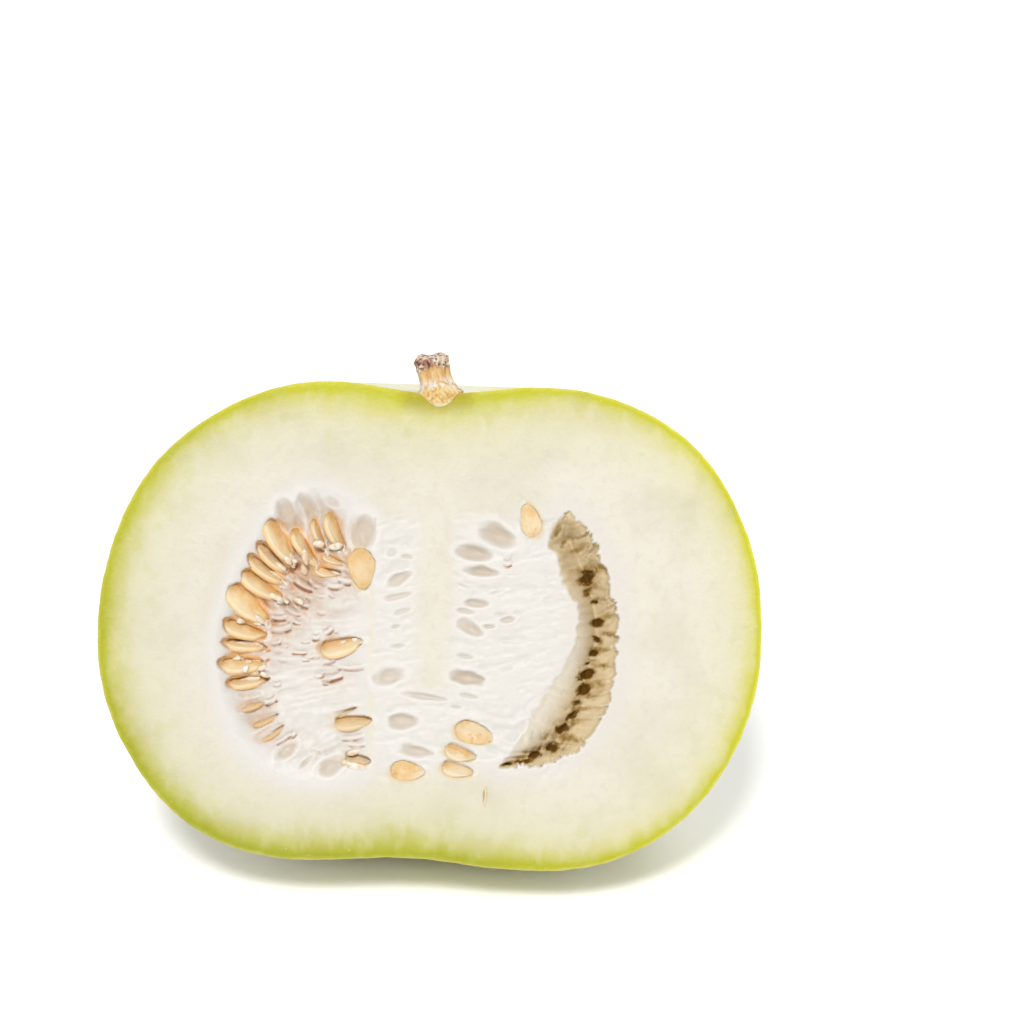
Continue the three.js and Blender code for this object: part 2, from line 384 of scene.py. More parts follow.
class SeedPlace:
    def __init__(self, name):
        self.name = name
        points = toMelon([v.co for v in frame["nodes"][name].data.vertices])
        middle = points.mean(0)
        flatWay, wideWay, longWay = np.linalg.eigh(np.cov((points - middle).T))[1].T
        along, aside = (points - middle) @ longWay, (points - middle) @ wideWay
        if np.abs(aside[along > 0]).mean() > np.abs(aside[along < 0]).mean():
            longWay = -longWay  # towards the pointed end
        if flatWay[1] > 0:
            flatWay = -flatWay  # the side that shows
        wideWay = np.cross(flatWay, longWay)
        if wideWay[1] < 0:
            wideWay = -wideWay  # towards the edge that lies deeper
        self.axes = np.array([longWay, wideWay, flatWay])
        self.flip = bool(np.linalg.det(self.axes) > 0)  # so that faces look outwards
        reach = (points - middle) @ self.axes.T
        self.centre = middle + (reach.min(0) + reach.max(0)) / 2 @ self.axes
        self.length, self.width, self.thickness = reach.max(0) - reach.min(0)
        self.steepness = math.acos(min(1, abs(flatWay[1])))
        self.steep = float(self.steepness > steepFrom)
        self.buried = float(smoothStep(54, 60, math.degrees(self.steepness)) * (self.centre[2] < -18))
        self.reach = self.thickness / 2 / math.cos(self.steepness)  # half its thickness, into the fruit
        self.warmth = float(smoothStep(-13, -31, self.centre[0]))   # how brown the pulp around it is

    # For points of the cut: where they fall on the seed's plane, and how deep that plane is there
    def under(self, x, z):
        dx, dz = x - self.centre[0], z - self.centre[2]
        longWay, wideWay, flatWay = self.axes
        dy = -(flatWay[0] * dx + flatWay[2] * dz) / flatWay[1]
        along = longWay[0] * dx + longWay[1] * dy + longWay[2] * dz
        aside = wideWay[0] * dx + wideWay[1] * dy + wideWay[2] * dz
        return along, aside, self.centre[1] + dy


seedPlaces = [SeedPlace(name) for name in sorted(frame["nodes"]) if name.startswith("seed_")]

# the relief of the cut face, all in mm

chamber = {
    "outline": [
        (-46, 20.5), (-50.6, 11), (-54, 1), (-54.8, -9), (-52, -22), (-45.5, -33), (-34, -39.5), (-22, -39),
        (-14.5, -34), (-14, -20), (-14.5, -6), (-13, 10), (-13.5, 23), (-20, 32), (-30, 35.5), (-39.5, 30),
    ],
    "floor": [  # x, z and how deep the pulp lies there
        (-52, 8, 4.6), (-52, -10, 4.6), (-48, -22, 3.6), (-43, -31, 2.4), (-44, 22, 4.0), (-36, 26, 4.4),
        (-28, 26, 4.2), (-20, 28, 2.0), (-31, 14, 5.0), (-36, 8, 3.6), (-24, 9, 1.8), (-38, 1, 2.6),
        (-30, -6, 1.2), (-37, -18, 1.0), (-26, -25, 0.7), (-17, -4, 0.6), (-20, -31, 1.4), (-31, -34, 1.4),
        (-15, 12, 0.9), (-17, 20, 1.2),
    ],
    "slope": (-1, 6.5),   # where its side starts and ends, inwards from the outline
    "wobble": 0.8,
}
fibres = {
    "steps": 6,           # how many steps the grain is drawn out by, each way, and their length
    "stepLength": 0.55,
    "coarse": 1.7,        # how wide the coarse strands are, and the fine ones
    "fine": 0.8,
}
# How the fibres run: x, z and their slope in degrees
fibreWays = [
    (-42, 22, -64), (-30, 24, -70), (-21, 24, -82), (-46, 10, -38), (-38, 8, -30), (-30, 6, -12),
    (-22, 4, 8), (-49, -4, -14), (-38, -2, -6), (-28, -6, 6), (-18, -8, 14), (-50, -12, 2),
    (-46, -22, 16), (-36, -18, 12), (-24, -18, 10), (-43, -28, 28), (-32, -32, 36), (-22, -36, 20),
    (-30, 14, -32), (-20, 12, -20),
    (-8, 20, 20), (-8, 0, 14), (-8, -14, 8), (-6, -28, -10), (12, 22, -24), (12, 8, -6), (14, -6, -10),
    (24, 14, 14), (26, 0, 8), (20, -14, 20), (14, -28, -20), (2, -36, 0), (30, -26, 60),
]
# Slits in the pulp, painted brown as shade: x, z, slope, length, width, depth
slits = [
    (-32.7, 10.4, -28, 6.4, 1.5, 1.8), (-30.1, 10.6, -35, 3.8, 1.0, 1.2), (-21.7, 11.4, -12, 4.0, 1.5, 1.4),
    (-24.1, 10.0, 0, 4.6, 1.2, 0.9), (-33.2, 5.6, -25, 4.8, 1.2, 1.9), (-35.4, 3.5, -22, 5.0, 1.4, 1.9),
    (-39.0, 1.8, 0, 4.6, 1.0, 1.5), (-34.3, 0.7, -22, 2.4, 0.8, 1.1), (-38.3, -1.2, 5, 5.6, 1.6, 2.4),
    (-25.7, -1.5, 32, 2.8, 1.1, 1.2), (-29.2, -3.3, 3, 2.3, 1.0, 1.1), (-32.0, -4.2, 0, 2.6, 0.6, 0.6),
    (-39.6, -4.7, 8, 2.6, 0.8, 1.0), (-33.5, -7.0, 0, 4.4, 0.7, 0.9), (-31.8, -8.8, 5, 2.2, 0.6, 0.6),
    (-25.8, -9.3, 10, 3.6, 1.0, 0.8), (-25.0, -13.6, 9, 6.2, 1.4, 1.7), (-20.1, -11.0, 2, 7.6, 1.0, 0.7),
    (-39.4, -15.4, 8, 2.2, 0.7, 0.8), (-40.9, -19.9, 25, 3.8, 1.3, 1.6), (-35.1, -28.5, 30, 1.6, 1.0, 1.0),
    (-37.6, -29.6, 32, 5.0, 0.8, 0.7), (-19.8, -29.2, 6, 6.6, 1.0, 0.7), (-18.6, -31.0, 4, 4.8, 0.8, 0.6),
    (-27.0, 20.4, -70, 4.0, 1.2, 1.2), (20.6, 16.0, 5, 2.4, 1.3, 1.0), (9.4, 10.8, -25, 3.4, 0.7, 0.5),
]
# Many smaller ones where the fibres leave the seeds: x, z, slope, length, width, depth
chance = np.random.default_rng(41)
smallSlits = [
    (x, z, -26 + 1.1 * (14 - z) + slope, length, 0.5 + 0.16 * length, depth)
    for x, z, slope, length, depth in zip(
        chance.uniform(-42, -24, 30), chance.uniform(-17, 11, 30), chance.uniform(-22, 22, 30),
        chance.uniform(0.9, 3.0, 30), chance.uniform(0.2, 0.8, 30))
]
# Crevices between the seeds, painted orange-brown as shade: x, z, slope, length, width, depth
crevices = [
    (-35.0, 20.2, -75, 3.6, 1.0, 1.6), (-34.7, 16.0, -20, 3.4, 2.2, 2.6), (-35.9, 14.3, -30, 2.6, 1.4, 1.6),
    (-30.2, 16.6, -70, 3.4, 1.7, 2.2), (-27.7, 19.6, -5, 3.6, 1.4, 2.2), (-27.3, 17.8, -60, 2.2, 1.1, 1.6),
    (-39.4, 18.0, -50, 5.0, 1.1, 1.2), (-39.3, 12.1, -12, 4.8, 1.2, 1.5), (-42.6, 6.3, -40, 4.4, 1.3, 1.4),
    (-42.0, -9.0, 30, 1.6, 1.0, 1.2), (-47.6, -11.6, 0, 1.4, 0.8, 0.8), (-41.6, -6.4, 10, 1.6, 0.7, 1.0),
]
# Cells without a seed: x, z, slope, length, width, depth
emptyCells = [
    (-36.1, 28.3, -62, 11.0, 6.0, 2.6), (-31.0, 29.6, -68, 11.5, 4.6, 2.3),
    (-24.5, 32.4, -40, 5.0, 2.6, 0.9), (-17.1, 24.4, -82, 10.6, 7.8, 2.5),
    (-36.8, -32.2, 40, 6.4, 3.6, 1.7), (-29.0, -32.9, -15, 3.6, 1.7, 1.2),
    (-31.9, -35.3, 45, 5.4, 1.8, 1.3), (-25.6, -36.3, 32, 8.2, 4.6, 1.6), (-47.0, -17.6, 6, 6.0, 1.6, 0.8),
    (-9.5, 19.5, 30, 3.6, 2.6, 0.8), (-5.6, 18.2, -10, 3.4, 1.6, 0.7), (-7.9, 12.6, 25, 6.8, 3.8, 1.4),
    (-7.9, 8.0, 12, 7.8, 1.8, 0.8), (-8.4, 0.1, 8, 2.8, 1.1, 0.6), (-10.5, -13.0, 14, 8.4, 5.0, 1.5),
    (-1.2, -18.0, -10, 12.4, 1.8, 1.0), (-6.6, -24.4, 0, 7.6, 4.8, 1.8), (-3.2, -32.2, -15, 9.2, 3.8, 1.6),
    (18.0, 23.6, -27, 11.6, 6.4, 2.6), (12.3, 19.3, -10, 10.8, 4.6, 2.4), (13.4, 14.4, -5, 9.6, 3.0, 2.0),
    (12.3, 6.0, 0, 6.8, 2.4, 1.4), (9.5, 4.3, -10, 4.8, 1.7, 0.9), (20.6, 1.9, 6, 4.8, 2.0, 1.0),
    (10.8, -0.3, -25, 7.8, 3.4, 1.6), (15.6, 0.1, 0, 3.6, 1.4, 1.0), (10.5, -13.5, -14, 9.8, 4.2, 2.2),
    (7.1, -20.8, -8, 4.4, 1.4, 0.8), (9.6, -7.6, -10, 5.0, 1.6, 0.7), (17.8, 9.0, 12, 6.0, 1.2, 0.5),
    (-6.8, 4.0, 16, 4.6, 1.6, 0.6), (-8.0, -5.0, 10, 4.8, 1.6, 0.6), (10.6, -18.0, -12, 5.4, 1.4, 0.7),
]
gap = {
    "outerEdge": [
        (36.5, 30.5), (42.5, 23.5), (46.5, 13), (49, 2), (48.5, -10), (47, -20), (42.5, -28),
        (35.5, -34), (27, -36), (18.5, -36.2),
    ],
    "innerEdge": [
        (36, 30), (33.2, 27.8), (31.2, 25.4), (31.2, 20.8), (33.3, 18), (34.3, 13), (35.6, 9.2),
        (38.2, 5.6), (38.4, -1), (37.2, -6.2), (31.5, -14.4), (26.8, -22), (23, -29.4), (18, -35.8),
    ],
    "bottomLine": [
        (35.5, 28), (36.6, 22), (40.5, 14), (42.8, 6), (43.6, -2), (42, -10), (40, -18),
        (36.6, -25), (31, -32), (20.5, -35.6),
    ],
    "within": (12, -41, 35),   # left, bottom and top of the pulp that it changes
    "depth": 8.5,
    "tooth": 1.3,        # how far the outer edge's teeth reach
    "toothEvery": 3.6,
    "ragged": 0.55,      # how uneven the inner edge is
    "ribSlant": 0.55,    # the ribs run down from the outer edge
    "ends": (6, 12),     # how far from its upper and lower end it reaches its depth
    # the cream of the lower inner side is painted light
    "upperPart": (-12, 16),    # between these heights its inner side turns from cream to ribbed
    "holeDepth": 1.5,
    "faintAbove": 17,    # holes higher up than this are faint
    # holes along its bottom, painted dark as shade, each with a painted shadow tail: x, z, slope, length,
    # width
    "holes": [
        (33.6, 24.9, 58, 4.0, 1.5), (35.1, 21.3, 62, 3.0, 1.3), (38.8, 19.5, 15, 3.2, 1.4),
        (41.1, 12.5, 30, 5.0, 3.0), (41.4, 8.3, 25, 3.6, 2.8), (43.2, 6.2, 10, 2.0, 1.1),
        (44.0, 1.0, 10, 3.4, 2.5), (44.0, -3.6, -40, 3.4, 2.0), (42.9, -7.3, 5, 2.4, 1.8),
        (41.4, -9.9, 10, 1.8, 1.0), (41.4, -12.5, 30, 4.4, 2.3), (40.5, -17.1, -10, 3.3, 3.0),
        (39.0, -20.2, 8, 3.0, 1.8), (37.5, -23.5, 38, 4.2, 1.7), (35.1, -27.0, 30, 4.0, 2.6),
        (31.8, -31.8, 20, 5.6, 3.2), (28.1, -33.7, 10, 3.4, 1.5), (24.5, -35.3, 5, 5.6, 0.9),
        (20.8, -35.8, 4, 3.6, 0.8),
    ],
}
seedCell = {
    "side": (0.87, 0.98),   # where its side starts and ends, against the seed's outline
    "deepest": 13,
    "buriedDeepest": 3.5,   # where the seed stands low and steep, and the pulp closes over it
    "floor": (0.17, 0.95),  # its depth at the side and what the middle adds, in half thicknesses
    "pitFrom": -8,          # seeds lower down have no pit at their pointed end
}
# what each point's colour takes up, from 0 to 1
reliefMasks = [
    "brown", "tan", "pink", "cotton", "hollow", "lit", "glow", "gold", "strand", "crease", "cream", "edge",
]


class Relief:
    def __init__(self, x, z):
        self.x, self.z = x, z
        self.depth = np.zeros_like(x)
        self.masks = {name: np.zeros_like(x) for name in reliefMasks}
        self.drawFibres()
        self.makeChamber()
        self.makeEmptyCells()
        self.makeSeedCells()
        self.makeRims()
        self.makeCrevices()
        self.makeSlits()
        self.makeGap()

    def raiseMask(self, name, amount):
        self.masks[name] = np.maximum(self.masks[name], amount)

    # Noise drawn out along the fibres' way
    def drawFibres(self):
        doubled = np.radians([2 * way[2] for way in fibreWays])
        samples = [(way[0], way[1], math.cos(a), math.sin(a)) for way, a in zip(fibreWays, doubled)]
        self.coarse, self.fine = np.zeros_like(self.x), np.zeros_like(self.x)
        for direction in (-1, 1):
            x, z = self.x.copy(), self.z.copy()
            for step in range(fibres["steps"]):
                slope = spread(x, z, samples)
                angle = np.arctan2(slope[:, 1], slope[:, 0]) / 2
                x = x + direction * np.cos(angle) * fibres["stepLength"]
                z = z + direction * np.sin(angle) * fibres["stepLength"]
                self.coarse += grain(onSheet(x, z, fibres["coarse"]), 11) / 5
                self.fine += grain(onSheet(x, z, fibres["fine"]), 12) / 4

    def makeChamber(self):
        x, z = self.x, self.z
        wobble = chamber["wobble"] * layeredGrain(onSheet(x, z, 4), 2, 21)
        inside = insideDistance(x, z, smoothCurve(chamber["outline"], 90, closed=True)) + wobble
        shelf = smoothStep(*chamber["slope"], inside)
        floor = spread(x, z, chamber["floor"])[:, 0]
        roughness = 0.42 * self.coarse + 0.22 * self.fine
        roughness = roughness * np.clip(0.5 + floor / 3, 0, 1.4) * smoothStep(0, 9, inside)
        self.depth += shelf * (floor + roughness)
        self.raiseMask("pink", smoothStep(-2, 4, inside))
        # the cottony pulp on both sides of the smooth core, and below it
        ragged = x + 1.6 * layeredGrain(onSheet(x, z, 5), 3, 22)
        beside = smoothStep(-16, -11, x) * (1 - smoothStep(-6, 0, ragged))
        beside = np.maximum(beside, smoothStep(3.5, 9, ragged) * (1 - smoothStep(30, 40, x)))
        beside *= smoothStep(-41, -34, z) * (1 - smoothStep(24, 33, z))
        below = (1 - smoothStep(-18, -14, z)) * smoothStep(-40, -34, z)
        below *= smoothStep(-16, -10, x) * (1 - smoothStep(16, 26, x))
        pulp = np.maximum(beside, below)
        ridges = 1 - np.abs(self.coarse * 1.4)
        folds = np.abs(layeredGrain(onSheet(x / 2.2, z, 3.2, 5), 2, 24))  # soft membranes
        cottony = 0.24 * self.coarse + 0.1 * self.fine - 0.2 * ridges + 0.34 - 0.5 * folds
        self.depth += (1 - shelf) * pulp * cottony
        strand = hump(x + 14.9 + 0.4 * grain(onSheet(z, z, 9), 25), 0, 0.95)
        self.raiseMask("strand", strand * smoothStep(-39, -34, z) * (1 - smoothStep(8, 15, z)))
        self.raiseMask("cotton", np.maximum(pulp, smoothStep(-5, 0, inside)))

    def local(self, x, z, slope):
        return turned(self.x - x, self.z - z, slope)

    def makeEmptyCells(self):
        for x, z, slope, length, width, depth in emptyCells:
            along, aside = self.local(x, z, slope)
            r = np.hypot(along * 2 / length, aside * 2 / (width * (1 - 0.3 * along / length)))
            r = r + (0.22 * self.coarse + 0.08 * self.fine) * (0.4 if depth > 2.2 else 1)
            bowl = np.clip(1 - r ** 2, 0, 1) ** 1.1
            lip = hump(r, 1.15, 0.2)
            self.depth = np.maximum(self.depth, depth * bowl + 0.3 * self.depth * bowl) - 0.25 * lip
            # painted shade fills the empty cell, and its raised lip gets a painted highlight
            self.raiseMask("hollow", smoothStep(0.0, 0.7, bowl) * min(1, 0.2 + depth / 2.8))
            self.raiseMask("lit", 0.7 * lip)

    def makeSeedCells(self):
        self.covers = []
        for place in seedPlaces:
            along, aside, middle = place.under(self.x, self.z)
            along = along / (place.length / 2)
            aside = aside / (place.width / 2 * (1 - seedTaper * np.clip(along, -1, 1)))
            r = np.hypot(along, aside)
            self.covers.append((along, r, middle, middle - place.reach))
            buried, warmth, height = place.buried, place.warmth, place.centre[2]
            sideStart, sideEnd = seedCell["side"]
            sideStart, sideEnd = sideStart - 0.2 * buried, sideEnd - 0.15 * buried
            cell = 1 - smoothStep(sideStart, sideEnd, r + 0.05 * self.coarse)
            covered = np.maximum(aside, -0.65 * along)  # slants over the deep edge and the outer end
            cell *= 1 - smoothStep(-0.05 - 0.5 * buried, 1.1 - 0.3 * buried, covered) * place.steep
            atSide, inMiddle = seedCell["floor"]  # it follows the seed's underside
            cup = atSide + inMiddle * np.sqrt(1 - np.clip(r, 0, 1) ** 4)
            deepest = seedCell["deepest"] + (seedCell["buriedDeepest"] - seedCell["deepest"]) * buried
            self.depth = np.maximum(self.depth, np.clip(middle + place.reach * cup, 0, deepest) * cell)
            # what colours the pulp around it: painted warm shade on its deep side and in its pit, painted
            # shade along its covered edge, and gold on its near side
            deepSide = smoothStep(-0.4, 0.5, np.maximum(aside, along - 0.2))
            glow = (1 - smoothStep(0.9, 1.35, r)) * deepSide * place.steep * (0.3 + 0.7 * warmth)
            self.raiseMask("glow", glow * smoothStep(0.8, 3, self.depth) * (1 - 0.8 * buried))
            # painted shade: a brown band where the pulp closes over the seed's deep edge
            edge = smoothStep(0.55, 0.8, r) * (1 - smoothStep(1.0, 1.16, r)) * smoothStep(0.0, 0.5, covered)
            edge *= (0.35 + 0.65 * smoothStep(-25, -12, height)) * (0.5 + 0.5 * warmth) * place.steep
            self.raiseMask("edge", edge * smoothStep(0.5, 1.6, self.depth))
            gold = (1 - smoothStep(0.9, 1.45, r)) * smoothStep(0.6, -0.5, aside)
            self.raiseMask("gold", gold * (1 - warmth))
            if warmth > 0.4 and height > seedCell["pitFrom"]:
                pit = hump(along, 1.08, 0.3) * hump(aside, 0.25, 0.75) * (1 + 0.5 * self.fine)
                pit = np.clip(pit * smoothStep(seedCell["pitFrom"], 8, height), 0, 1)
                self.depth += pit
                self.raiseMask("glow", 0.8 * pit)

    # Each seed's near edge sits in a rim of pulp; scraps of pulp cling to its pointed end
    def makeRims(self):
        for number, (along, r, middle, near) in enumerate(self.covers):
            ragged = layeredGrain(onSheet(self.x, self.z, 1.3, 3.7 * number), 3, 61)
            rim = np.clip(middle, 0.2, 9) + 0.1 + np.clip((r - 1.0) / 0.2, 0, 9) ** 2 * 1.5 + 0.3 * ragged
            around = (r > 0.97) & (r < 1.6)
            self.depth = np.where(around, np.minimum(self.depth, rim), self.depth)
            tip = smoothStep(0.0, 0.14, along - seedTip - 0.34 * ragged)
            tip *= 1 - smoothStep(1.05, 1.3, r + 0.3 * ragged)
            level = np.clip(near, 0.3, 6) - 0.3 - 0.6 * ragged
            self.depth += (np.minimum(level, self.depth) - self.depth) * tip
            self.raiseMask("lit", tip)

    def makeCrevices(self):
        for x, z, slope, length, width, depth in crevices:
            along, aside = self.local(x, z, slope)
            r = np.hypot(along * 2 / length, aside * 2 / width) + 0.3 * self.fine + 0.15 * self.coarse
            pit = 1 - smoothStep(0.3, 1.3, r)
            self.depth += 0.1 * depth * pit
            self.raiseMask("brown", 0.5 * pit)
            self.raiseMask("glow", 0.6 * (1 - smoothStep(0.8, 1.9, r)))
            self.masks["lit"] *= 1 - pit

    # Each slit is curved like a smile: a line of painted shade, a scrap of pulp over it and a fine line of
    # painted shade above
    def makeSlits(self):
        torn = smoothStep(-0.6, 0.4, self.fine + 0.5 * self.coarse)
        for x, z, slope, length, width, depth in slits + smallSlits:
            along, aside = self.local(x, z, slope)
            share = along * 2 / length
            ends = 1 - smoothStep(0.75, 1.05, np.abs(share))
            up = aside + 0.4 * width * (1 - share ** 2) + 0.16 * self.fine
            line = hump(up, 0, 0.2 + 0.12 * width) * ends * (0.35 + 0.65 * torn)
            scrap = hump(up, 0.5 * width + 0.25, 0.42 * width + 0.1) * ends
            above = hump(up, 1.15 * width + 0.3, 0.26) * ends
            self.depth += depth * (0.5 * line + 0.2 * above) - 0.6 * scrap * min(1, depth)
            self.raiseMask("brown", (line + 0.35 * above) * min(1, depth / 1.3))
            self.raiseMask("lit", scrap * min(0.75, 0.8 * depth) * (0.75 + 0.5 * self.coarse))
            self.raiseMask("glow", 0.2 * ends * hump(up, 0, 1.6 * width) * min(1, depth / 2))

    def makeGap(self):
        left, low, high = gap["within"]
        near = (self.x > left) & (self.z > low) & (self.z < high)
        if not near.any():
            return
        x, z = self.x[near], self.z[near]
        lines = (smoothCurve(gap[name], 160) for name in ("innerEdge", "outerEdge", "bottomLine"))
        innerEdge, outerEdge, bottom = lines
        closest = np.concatenate([
            np.hypot(px[:, None] - bottom[:, 0], pz[:, None] - bottom[:, 1]).argmin(1)
            for px, pz in zip(np.array_split(x, 12), np.array_split(z, 12))])
        heading = np.gradient(bottom, axis=0)[closest]
        offset = np.stack([x, z], -1) - bottom[closest]
        outside = heading[:, 0] * offset[:, 1] - heading[:, 1] * offset[:, 0] > 0
        run = np.concatenate([[0], np.hypot(*np.diff(bottom, axis=0).T).cumsum()])[closest]
        still = np.zeros_like(run)
        # teeth of the outer edge: round bites with sharp points left between them
        toBottom = np.hypot(*offset.T)
        slant = run + gap["ribSlant"] * toBottom
        warp = 1.1 * grain(onSheet(slant, still, 5), 31) + 0.3 * grain(onSheet(slant, toBottom, 2.4), 36)
        notch = np.abs(np.sin(math.pi * (slant / gap["toothEvery"] + warp)))
        bite = np.sqrt(notch) - 0.6 + 0.4 * grain(onSheet(run, still, 1.0), 32)
        toOuter, toInner = (lineDistance(x, z, line)[0] for line in (outerEdge, innerEdge))
        whole = insideDistance(x, z, np.concatenate([outerEdge, innerEdge[::-1]]))
        past = np.where(whole > 0, 1, -1)
        toOuter *= np.where((whole > 0) | (toInner < toOuter), past, -1)
        teeth = np.where(outside, gap["tooth"] * bite, gap["ragged"] * grain(onSheet(run, still, 1.4), 33))
        edge = np.where(outside, toOuter, toInner * past) + teeth
        inward = np.clip(edge, 0, 99)
        share = inward / (inward + toBottom + 1e-6)  # 0 at the edge, 1 at the bottom
        ribs = grain(onSheet(slant * 0.8, toBottom / 5), 34)
        ribs += 0.6 * grain(onSheet(slant * 1.8, toBottom / 4), 35) - 1.1 * (1 - notch) ** 2
        upperEnd, lowerEnd = gap["ends"]
        ends = smoothStep(0, upperEnd, run) * (1 - smoothStep(run.max() - lowerEnd, run.max(), run))
        deep = gap["depth"] * (0.3 + 0.7 * ends)
        upper = smoothStep(*gap["upperPart"], z)
        outerFall = deep * (0.24 * smoothStep(0, 0.12, share) + 0.76 * share ** 1.1)
        innerFall = deep * (share ** 1.25 * (1 - upper) + share * upper)
        fall = np.where(outside, outerFall, innerFall)
        fall += np.where(outside, 0.6, 0.1 + 0.4 * upper) * ribs * smoothStep(0, 0.3, share)
        fall = np.where(edge > 0, np.clip(fall, 0, None), 0)
        dark = np.zeros_like(fall)
        rough = 0.28 * ribs + 0.3 * self.fine[near]
        for holeX, holeZ, slope, length, width in gap["holes"]:
            dx, dz = x - holeX, z - holeZ
            along, aside = turned(dx, dz, slope)
            r = np.hypot(along * 2 / length, aside * 2 / width) + rough
            # a painted shadow tail beside each hole
            tail = np.hypot((dx - 0.6 * length) / length, (dz - 0.45 * length) / (0.5 * width)) + rough
            pit = np.maximum(1 - smoothStep(0.35, 1.45, r), 0.5 * (1 - smoothStep(0.2, 1.4, tail)))
            dark = np.maximum(dark, pit * (edge > 0) * (0.5 if holeZ > gap["faintAbove"] else 1))
        fall += gap["holeDepth"] * dark
        self.depth[near] = np.where(fall > 0, np.maximum(self.depth[near], fall), self.depth[near])
        wall = smoothStep(0.1, 1.2, fall) * (edge > 0)
        # painted shade in the ribs' creases, and painted light on the lower inner wall
        crease = smoothStep(0.25, -1.5, ribs) * smoothStep(0.1, 0.5, share)
        masks = self.masks
        masks["crease"][near] = crease * np.where(outside, 1, 0.6 * upper) * wall
        masks["cream"][near] = np.where(outside, 0, 1 - upper) * smoothStep(0.9, 0.3, share) * wall
        masks["tan"][near] = wall
        masks["brown"][near] = np.maximum(masks["brown"][near] * (1 - wall), dark)
        for name in ("cotton", "pink", "hollow", "glow", "lit", "edge"):
            masks[name][near] *= 1 - wall

# the melon

fruit = {  # the half's shape, as in the part's source
    "radius": 85.7,
    "heightAbove": 70.3,
    "heightBelow": 70.9,
    "squarenessAbove": 2.39,
    "squarenessBelow": 2.09,
    "dimples": [(7.3, 26.3), (13.7, 41.9)],  # depth and reach, at the stem and below
    "axisRoll": math.radians(1.7),
    "centre": (0.4, -2.9),
    "lumps": 0.3,
    "rimChips": 0.14,
    "waves": 0.16,       # of the cut flesh
    # the outline is no perfect curve: degrees round the cut, and how far it swells there
    "swell": [
        (0, 0.2), (20, 0.4), (33, 1.25), (42, 1.1), (52, 0.3), (62, 0), (85, 0.4), (100, 0.3), (112, 0),
        (130, -0.75), (150, -0.65), (165, -0.4), (178, 0.5), (192, 0.5), (205, 0.2), (220, 0.6),
        (235, -0.2), (245, -0.3), (260, -0.2), (272, 0.7), (283, 1.3), (295, 0.9), (310, 0.5),
        (325, 0.25), (340, 0.1),
    ],
    # degrees, how fast the green of the rind fades inwards, and how far that side's flesh is painted as lit
    # rather than shaded
    "greening": [
        (0, 1.5, 0.95), (30, 1.25, 1.0), (60, 0.95, 0.85), (75, 0.72, 0.72), (95, 0.66, 0.8),
        (115, 0.72, 0.85), (135, 1.05, 0.6), (165, 0.95, 0.4), (190, 0.85, 0.3), (215, 0.9, 0.08),
        (240, 0.8, 0.0), (270, 0.75, 0.15), (290, 0.85, 0.3), (310, 1.15, 0.6), (335, 1.4, 0.8),
    ],
    "rimCount": 840,
    "rindLoops": 34,
    # the finely modelled middle: its bottom and top, its rows, and its columns: from, to, how far apart
    "coreHeights": (-46.5, 37.5),
    "rows": 232,
    "columns": [(-56.5, -12.5, 0.32), (-12.4, 17, 0.5), (17.1, 52.0, 0.36)],
    # how far out each loop between the core and the rim lies, and how many points it has
    "fleshLoops": [
        (0.05, 960), (0.12, 820), (0.2, 680), (0.28, 600), (0.36, 560), (0.44, 520), (0.52, 500),
        (0.6, 500), (0.68, 520), (0.76, 560), (0.83, 640), (0.89, 720), (0.93, 840), (0.96, 840),
        (0.98, 840), (0.993, 840),
    ],
    "stemFoot": (2.4, 3.6, 60),   # what the stain and the bloom lie round
}


def rindPoints(across, into, up):  # where a direction from the middle of the fruit meets the rind
    above = up > 0
    rise = np.clip(np.abs(up), 0, 1)
    power = np.where(above, 2 / fruit["squarenessAbove"], 2 / fruit["squarenessBelow"])
    radius = fruit["radius"] * np.sqrt(1 - rise ** 2) ** power
    top, bottom = (depth * hump(radius, 0, reach) for depth, reach in fruit["dimples"])
    height = np.where(above, fruit["heightAbove"], -fruit["heightBelow"]) * rise ** power
    height += np.where(above, -top, bottom)
    turn = np.arctan2(into, across)
    x, y = radius * np.cos(turn), radius * np.sin(turn)
    c, s = math.cos(fruit["axisRoll"]), math.sin(fruit["axisRoll"])
    centreX, centreZ = fruit["centre"]
    points = np.stack([x * c + height * s + centreX, y, height * c - x * s + centreZ], axis=-1)
    lumps = fruit["lumps"] * layeredGrain(points / 22, 3, 5)
    degrees, swell = np.array(fruit["swell"]).T
    around = np.degrees(np.arctan2(points[:, 2], points[:, 0]))
    lumps += np.interp(around, degrees, swell, period=360) * smoothStep(70, 0, points[:, 1])
    return points * (1 + lumps / np.linalg.norm(points, axis=1))[:, None]


def turnsOf(count, start=0.0):  # angles that share out one turn
    return (np.arange(count) + start) / count * 2 * math.pi


